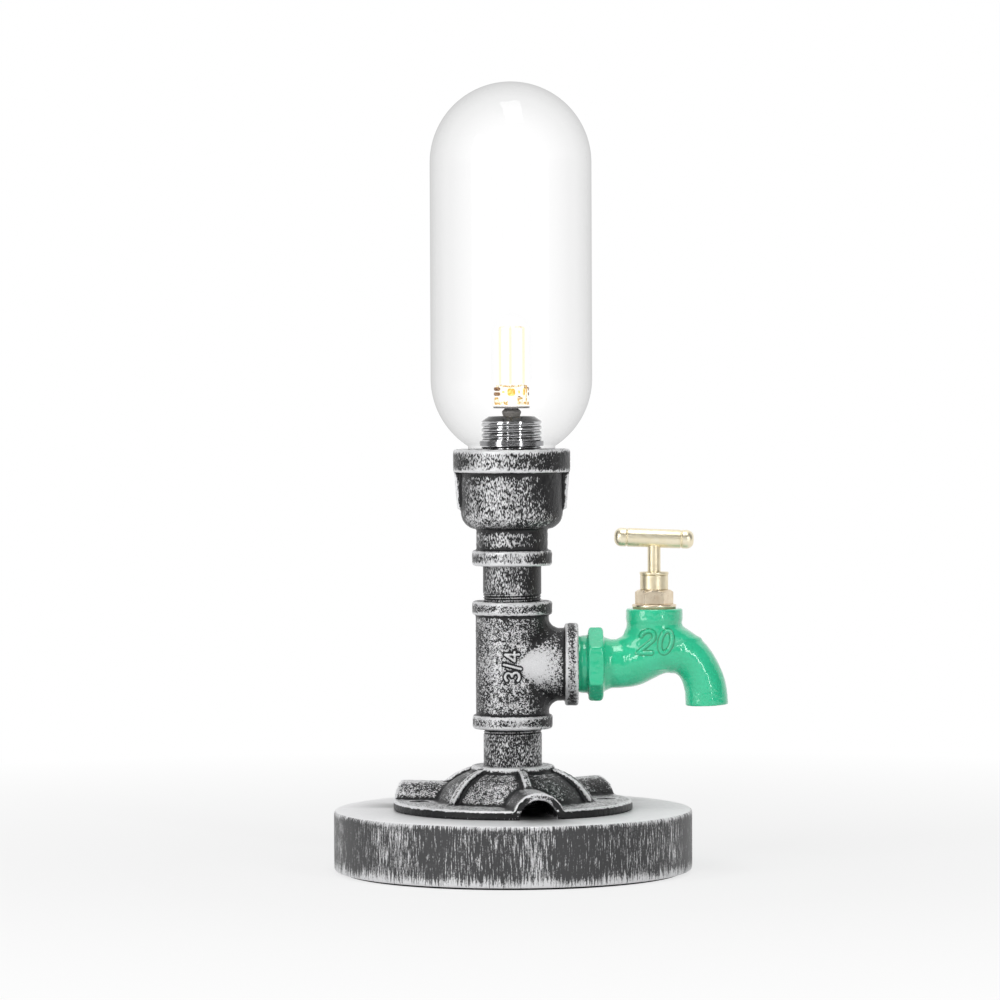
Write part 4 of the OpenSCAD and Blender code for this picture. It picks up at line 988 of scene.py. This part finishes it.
def bulb_pieces():
    envelope = clear_glass("bulb_glass", (0.6, 1.0), (1.0, 0.96), gloss=0.003)
    z0, z1 = level("bulb_envelope"), level("bulb_envelope", top=True)
    r, wall = half_width("bulb_envelope"), 0.7
    line = [(r - wall, z0)] + [(r, z0)] + arc(0, z1 - r, r, 0, 90, 16) + arc(0, z1 - r, r - wall, 90, 0, 16)
    dress(turned("bulb_glass", line, 96), envelope, "bulb", "bulb_envelope")

    sticks = []
    stick_z0, stick_z1 = level("led_sticks"), level("led_sticks", top=True)
    for i in range(3):
        x, y = stick_place(i)
        sticks.append(tube("stick", [(x, y, stick_z0 + 0.8 + t * (stick_z1 - stick_z0 - 1.6) / 6)
                                     for t in range(7)], 0.5, 16))
    glow = glowing("stick_glow", (0.97, 0.95, 0.72), 1.0)
    dress(joined("light_sticks", sticks), glow, "bulb", "led_sticks")
    tips = []
    for i, reach in enumerate((0.35, 0.62, 0.8)):
        x, y = stick_place(i)
        tips.append(tube("tip", [(x, y, stick_z1 - 1.0), (x, y, stick_z1 - 0.3),
                                 (x * reach, y * reach, stick_z1 - 0.1)], 0.24, 8))
    wire = mottled("tip_wire", (0.5, 0.3, 0.12), (0.95, 0.82, 0.6))
    dress(joined("stick_tips", tips), wire, "bulb")


def block(name, x, y, z, turn=0.0):
    """Small block with broken edges, from its lowest to its highest x, y and z."""
    bm = bmesh.new()
    bmesh.ops.create_cube(bm, size=1)
    middle_of = [(a + b) / 2 * MM for a, b in (x, y, z)]
    sizes = [(b - a) * MM for a, b in (x, y, z)]
    bmesh.ops.bevel(bm, geom=bm.edges, offset=0.12, segments=2, affect="EDGES")
    bmesh.ops.transform(bm, verts=bm.verts, matrix=Matrix.Rotation(math.radians(turn), 4, "Z")
                        @ Matrix.Translation(middle_of) @ Matrix.Diagonal((*sizes, 1)))
    return linked(name, mesh_from(name, bm))


# Parts on the driver card: lowest and highest x, lowest and highest height above its board, and depth
DARK_PARTS = [(-7.3, -4.7, 3.4, 4.9, 2.0), (-7.3, -4.7, 5.5, 7.0, 2.0), (2.7, 3.9, 0.5, 3.3, 1.6)]
AMBER_PARTS = [(-1.7, 1.6, 3.4, 6.4, 2.2), (4.9, 5.7, 3.6, 6.6, 1.2), (-3.9, -2.9, 4.6, 5.4, 0.8),
               (2.9, 3.6, 4.4, 5.6, 0.8)]


def disc(name, z, thick, r, edge, segments):
    """Thin solid disc with rounded edges."""
    line = rounded([(0, z, 0), (r, z, edge), (r, z + thick, edge), (0, z + thick, 0)])
    return turned(name, line, segments, closed=False)


def driver():
    """Card with the parts that feed the light sticks, between two thin boards."""
    r = half_width("lower_board") - 0.1
    low, low1 = level("lower_board"), level("lower_board", top=True)
    high, high1 = level("upper_board"), level("upper_board", top=True)
    gold = mottled("driver_gold", (0.6, 0.36, 0.09), (0.98, 0.9, 0.72), 0.8, 0.3)
    dark = mottled("driver_dark", (0.13, 0.06, 0.025), (0.3, 0.17, 0.08), 1.2)
    amber = mottled("driver_amber", (0.8, 0.42, 0.05), (0.95, 0.66, 0.2), 0.8)
    white = mottled("driver_card", (0.8, 0.77, 0.7), (0.95, 0.94, 0.9), glow=0.8)
    foot = disc("board_foot", low, 0.6, r, 0.15, 64)
    dress(foot, white, "bulb", "lower_board")
    chips = [block("chip", (r - 1.5 - 0.3 * (i % 3), r - 0.2), (-0.9, 0.7 + 0.2 * (i % 2)),
                   (low + 0.2, low1 + 1.0 + 0.6 * (i % 4)), 360 / 13 * i) for i in range(13) if i % 6 != 4]
    dress(joined("board_chips", chips), gold, "bulb", "lower_board")
    card = [block("card", (-r + 0.6, r - 0.6), (-0.4, 0.4), (low + 0.3, high + 0.3))]
    dress(joined("driver_card", card), white, "bulb", "driver_parts")
    for name, rows, material in (("driver_blocks", DARK_PARTS, dark), ("driver_coils", AMBER_PARTS, amber)):
        parts = []
        for x0, x1, z0, z1, depth in rows:
            for side in (1, -1):
                xs = (x0, x1) if side > 0 else (-x1, -x0)
                ys = (-0.3 - depth, -0.3) if side > 0 else (0.3, 0.3 + depth)
                parts.append(block("part", xs, ys, (low1 + z0, low1 + z1)))
        dress(joined(name, parts), material, "bulb", "driver_parts")
    spread = [disc("hub", high, 0.7, 3.8, 0.2, 48)]
    for i in range(3):
        spread.append(block("arm", (3.0, 6.3), (-0.7, 0.7), (high + 0.1, high1), STICK_TURN + 120 * i))
    for x, y in ((6.2, -2.6), (-6.0, 3.0)):
        spread.append(tube("post", [(x, y, low + 0.4), (x, y, high + 0.5)], 0.35, 8))
    dress(joined("board_top", spread), gold, "bulb", "upper_board")


# Room, lamps and camera

def floor_and_room():
    """White ground that takes shadows, and a room that mirrors white behind the lamp and dim before it."""
    s = Shader("floor")
    share = s.range(s.from_axis(), 150, 600, 0.72, 1.0)
    paper = s.node("BsdfDiffuse", {"Color": (0.82, 0.82, 0.82, 1)})
    white = s.node("Emission", {"Color": (1, 1, 1, 1), "Strength": 1.0})
    s.show(s.node("MixShader", {
        0: s.math("MULTIPLY", s.seen(), share), 1: paper.outputs[0], 2: white.outputs[0]}))
    half = 4000
    floor = piece("floor", [(-half, -half, 0), (half, -half, 0), (half, half, 0), (-half, half, 0)],
                  [(0, 1, 2, 3)])
    floor.data.materials.append(s.material)

    world = bpy.data.worlds.new("studio")
    bpy.context.scene.world = world
    s = Shader("studio", world)
    way = s.node("SeparateXYZ", {0: s.coordinates["Generated"]}).outputs[1]
    room = s.node("MapRange", {
        "Value": way, "From Min": 0.0, "From Max": 0.3, "To Min": 0.1, "To Max": 1.0},
        interpolation_type="SMOOTHSTEP").outputs[0]
    mirrored = s.node("LightPath").outputs["Is Glossy Ray"]
    strength = s.math("MULTIPLY_ADD", mirrored, s.math("SUBTRACT", room, 1.0), 1.0)
    lit = s.node("Background", {"Strength": 0.42})
    shown = s.node("Background", {"Color": (1, 1, 1, 1), "Strength": strength})
    s.show(s.node("MixShader", {0: s.seen(), 1: lit.outputs[0], 2: shown.outputs[0]}))


# Name, degrees from the front, distance, height, width, length in metres, and power in watts
LAMPS = [
    ("key", -47, 1.1, 0.38, 0.36, 1.2, 5.6), ("sparkle", -16, 1.2, 0.55, 0.08, 0.6, 1.7),
    ("fill", 34, 1.1, 0.42, 0.1, 0.7, 2.7), ("top", 10, 0.3, 1.4, 0.4, 0.8, 5.6),
]


def lamps():
    aim = Vector((0, 0, 0.14))
    for name, azimuth, distance, height, wide, tall, power in LAMPS:
        a = math.radians(azimuth)
        lamp = bpy.data.lights.new(name, "AREA")
        lamp.shape = "RECTANGLE"
        lamp.size = wide
        lamp.size_y = tall
        lamp.energy = power
        obj = linked(name, lamp)
        obj.location = (distance * math.sin(a), -distance * math.cos(a), height)
        obj.rotation_euler = (aim - obj.location).to_track_quat("-Z", "Y").to_euler()


def camera():
    data = bpy.data.cameras.new("camera")
    data.sensor_width = 36
    data.sensor_fit = "HORIZONTAL"
    data.lens = 165.6
    data.clip_end = 50
    obj = linked("camera", data)
    tilt, roll = math.radians(90 - 1.706), math.radians(-0.23)
    obj.matrix_world = (Matrix.Translation(Vector((-4.95, -1923, 212.8)) * MM)
                        @ Matrix.Rotation(tilt, 4, "X") @ Matrix.Rotation(roll, 4, "Z"))
    bpy.context.scene.camera = obj


# The lamp

camera()
floor_and_room()
lamps()

tee_iron = silvered_iron("tee_iron", 0.1, 1.7, wiggle=0.9, broad_gain=0.95)
flange_iron = silvered_iron("flange_iron", 0.33, 2.1, broad_gain=0.4, painted_top_light_gain=0.3,
                            rim_r=half_width("flange"))
streaked_iron = silvered_iron("streaked_iron", 0.0, 2.4, 2.8, soft=0.07)
upper_iron = silvered_iron("upper_pipe_iron", 0.0, 2.3, 3.0, soft=0.07)
lower_iron = silvered_iron("lower_pipe_iron", 0.27, 2.3, 2.4, painted_light_gain=0.02, soft=0.06)
yellow_brass = brass("tap_brass")
stem_brass = brass("stem_brass", (0.78, 0.66, 0.42), (0.92, 0.85, 0.66))
hexagon_brass = brass("hexagon_brass", (0.66, 0.52, 0.36), (0.98, 0.88, 0.7), 0.3, 1)

wood_base()
nipple("lower_pipe", "lower_nipple", TEE_Z0 - 2.6, TEE_Z0 + 9, lower_iron)
nipple("upper_pipe", "upper_nipple", TEE_Z1 - 9, TEE_Z1 + 3.4, upper_iron)
casting("cast_flange", [copy_of("flange")], flange_iron, "flange", voxel=0.5, soft=2, lumps=0.14, seed=3)
tee(tee_iron)
casting("cast_reducer", [copy_of("reducer")], streaked_iron, "reducer", voxel=0.45, soft=3, lumps=0.12,
        seed=4)
tap(green_enamel())
bonnet(hexagon_brass)
handle_bar(yellow_brass)
threaded_shell(thread_steel("shell_steel", (0.52, 0.52, 0.53), (0.06, 0.06, 0.06)))
glass(clear_glass("clear_glass", (0.08, 1.0), (0.15, 0.985), (0.26, 0.957), (0.43, 0.91), (0.62, 0.85),
                  (0.77, 0.79), (0.9, 0.74), (1.0, 0.6), gloss=0.015),
      clear_glass("glass_inside", (0.0, 1.0), (1.0, 1.0), gloss=0.0))
bulb_pieces()
driver()

FINISHES = {
    "felt_pad": plain("felt", (0.012, 0.012, 0.013), 0.95, 3.0, 0.1),
    "inlet_bush": plain("bush_plastic", (0.02, 0.02, 0.02), 0.45),
    "terminal_block": plain("ivory_plastic", (0.75, 0.73, 0.66), 0.4),
    "terminal_screws": brass("screw_brass"),
    "live_wire": plain("brown_sleeve", (0.14, 0.05, 0.02), 0.35),
    "neutral_wire": plain("blue_sleeve", (0.02, 0.06, 0.3), 0.35),
    "flange_screws": steel("dark_steel", (0.06, 0.06, 0.06), 0.4),
    "carrier_disc": steel("zinc_steel", (0.55, 0.55, 0.57), 0.35),
    "holder_tube": steel("tube_steel", (0.5, 0.5, 0.52), 0.3),
    "tube_nuts": steel("nut_steel", (0.5, 0.5, 0.52), 0.3),
    "holder_ring": steel("ring_zinc", (0.3, 0.3, 0.31), 0.15),
    "holder_insert": plain("ceramic", (0.75, 0.72, 0.64), 0.2, 0.8, 0.03, 1.1),
    "holder_contacts": brass("contact_brass"),
    "seal_ring": plain("seal_rubber", (0.02, 0.02, 0.02), 0.6),
    "bulb_pins": steel("pin_steel", (0.6, 0.6, 0.6), 0.2),
    "bulb_plug": plain("plug_plastic", (0.19, 0.18, 0.172), 0.5),
    "bonnet_gasket": plain("gasket_fibre", (0.4, 0.33, 0.2), 0.7),
    "gland_packing": plain("packing_cotton", (0.6, 0.56, 0.45), 0.8),
    "gland_nut": stem_brass,
    "spindle": stem_brass,
    "jumper_valve": yellow_brass,
    "valve_washer": plain("washer_rubber", (0.02, 0.02, 0.02), 0.6),
    "washer_nut": yellow_brass,
}
for node, finish in FINISHES.items():
    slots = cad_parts[node].data.materials
    slots.clear()
    slots.append(finish)
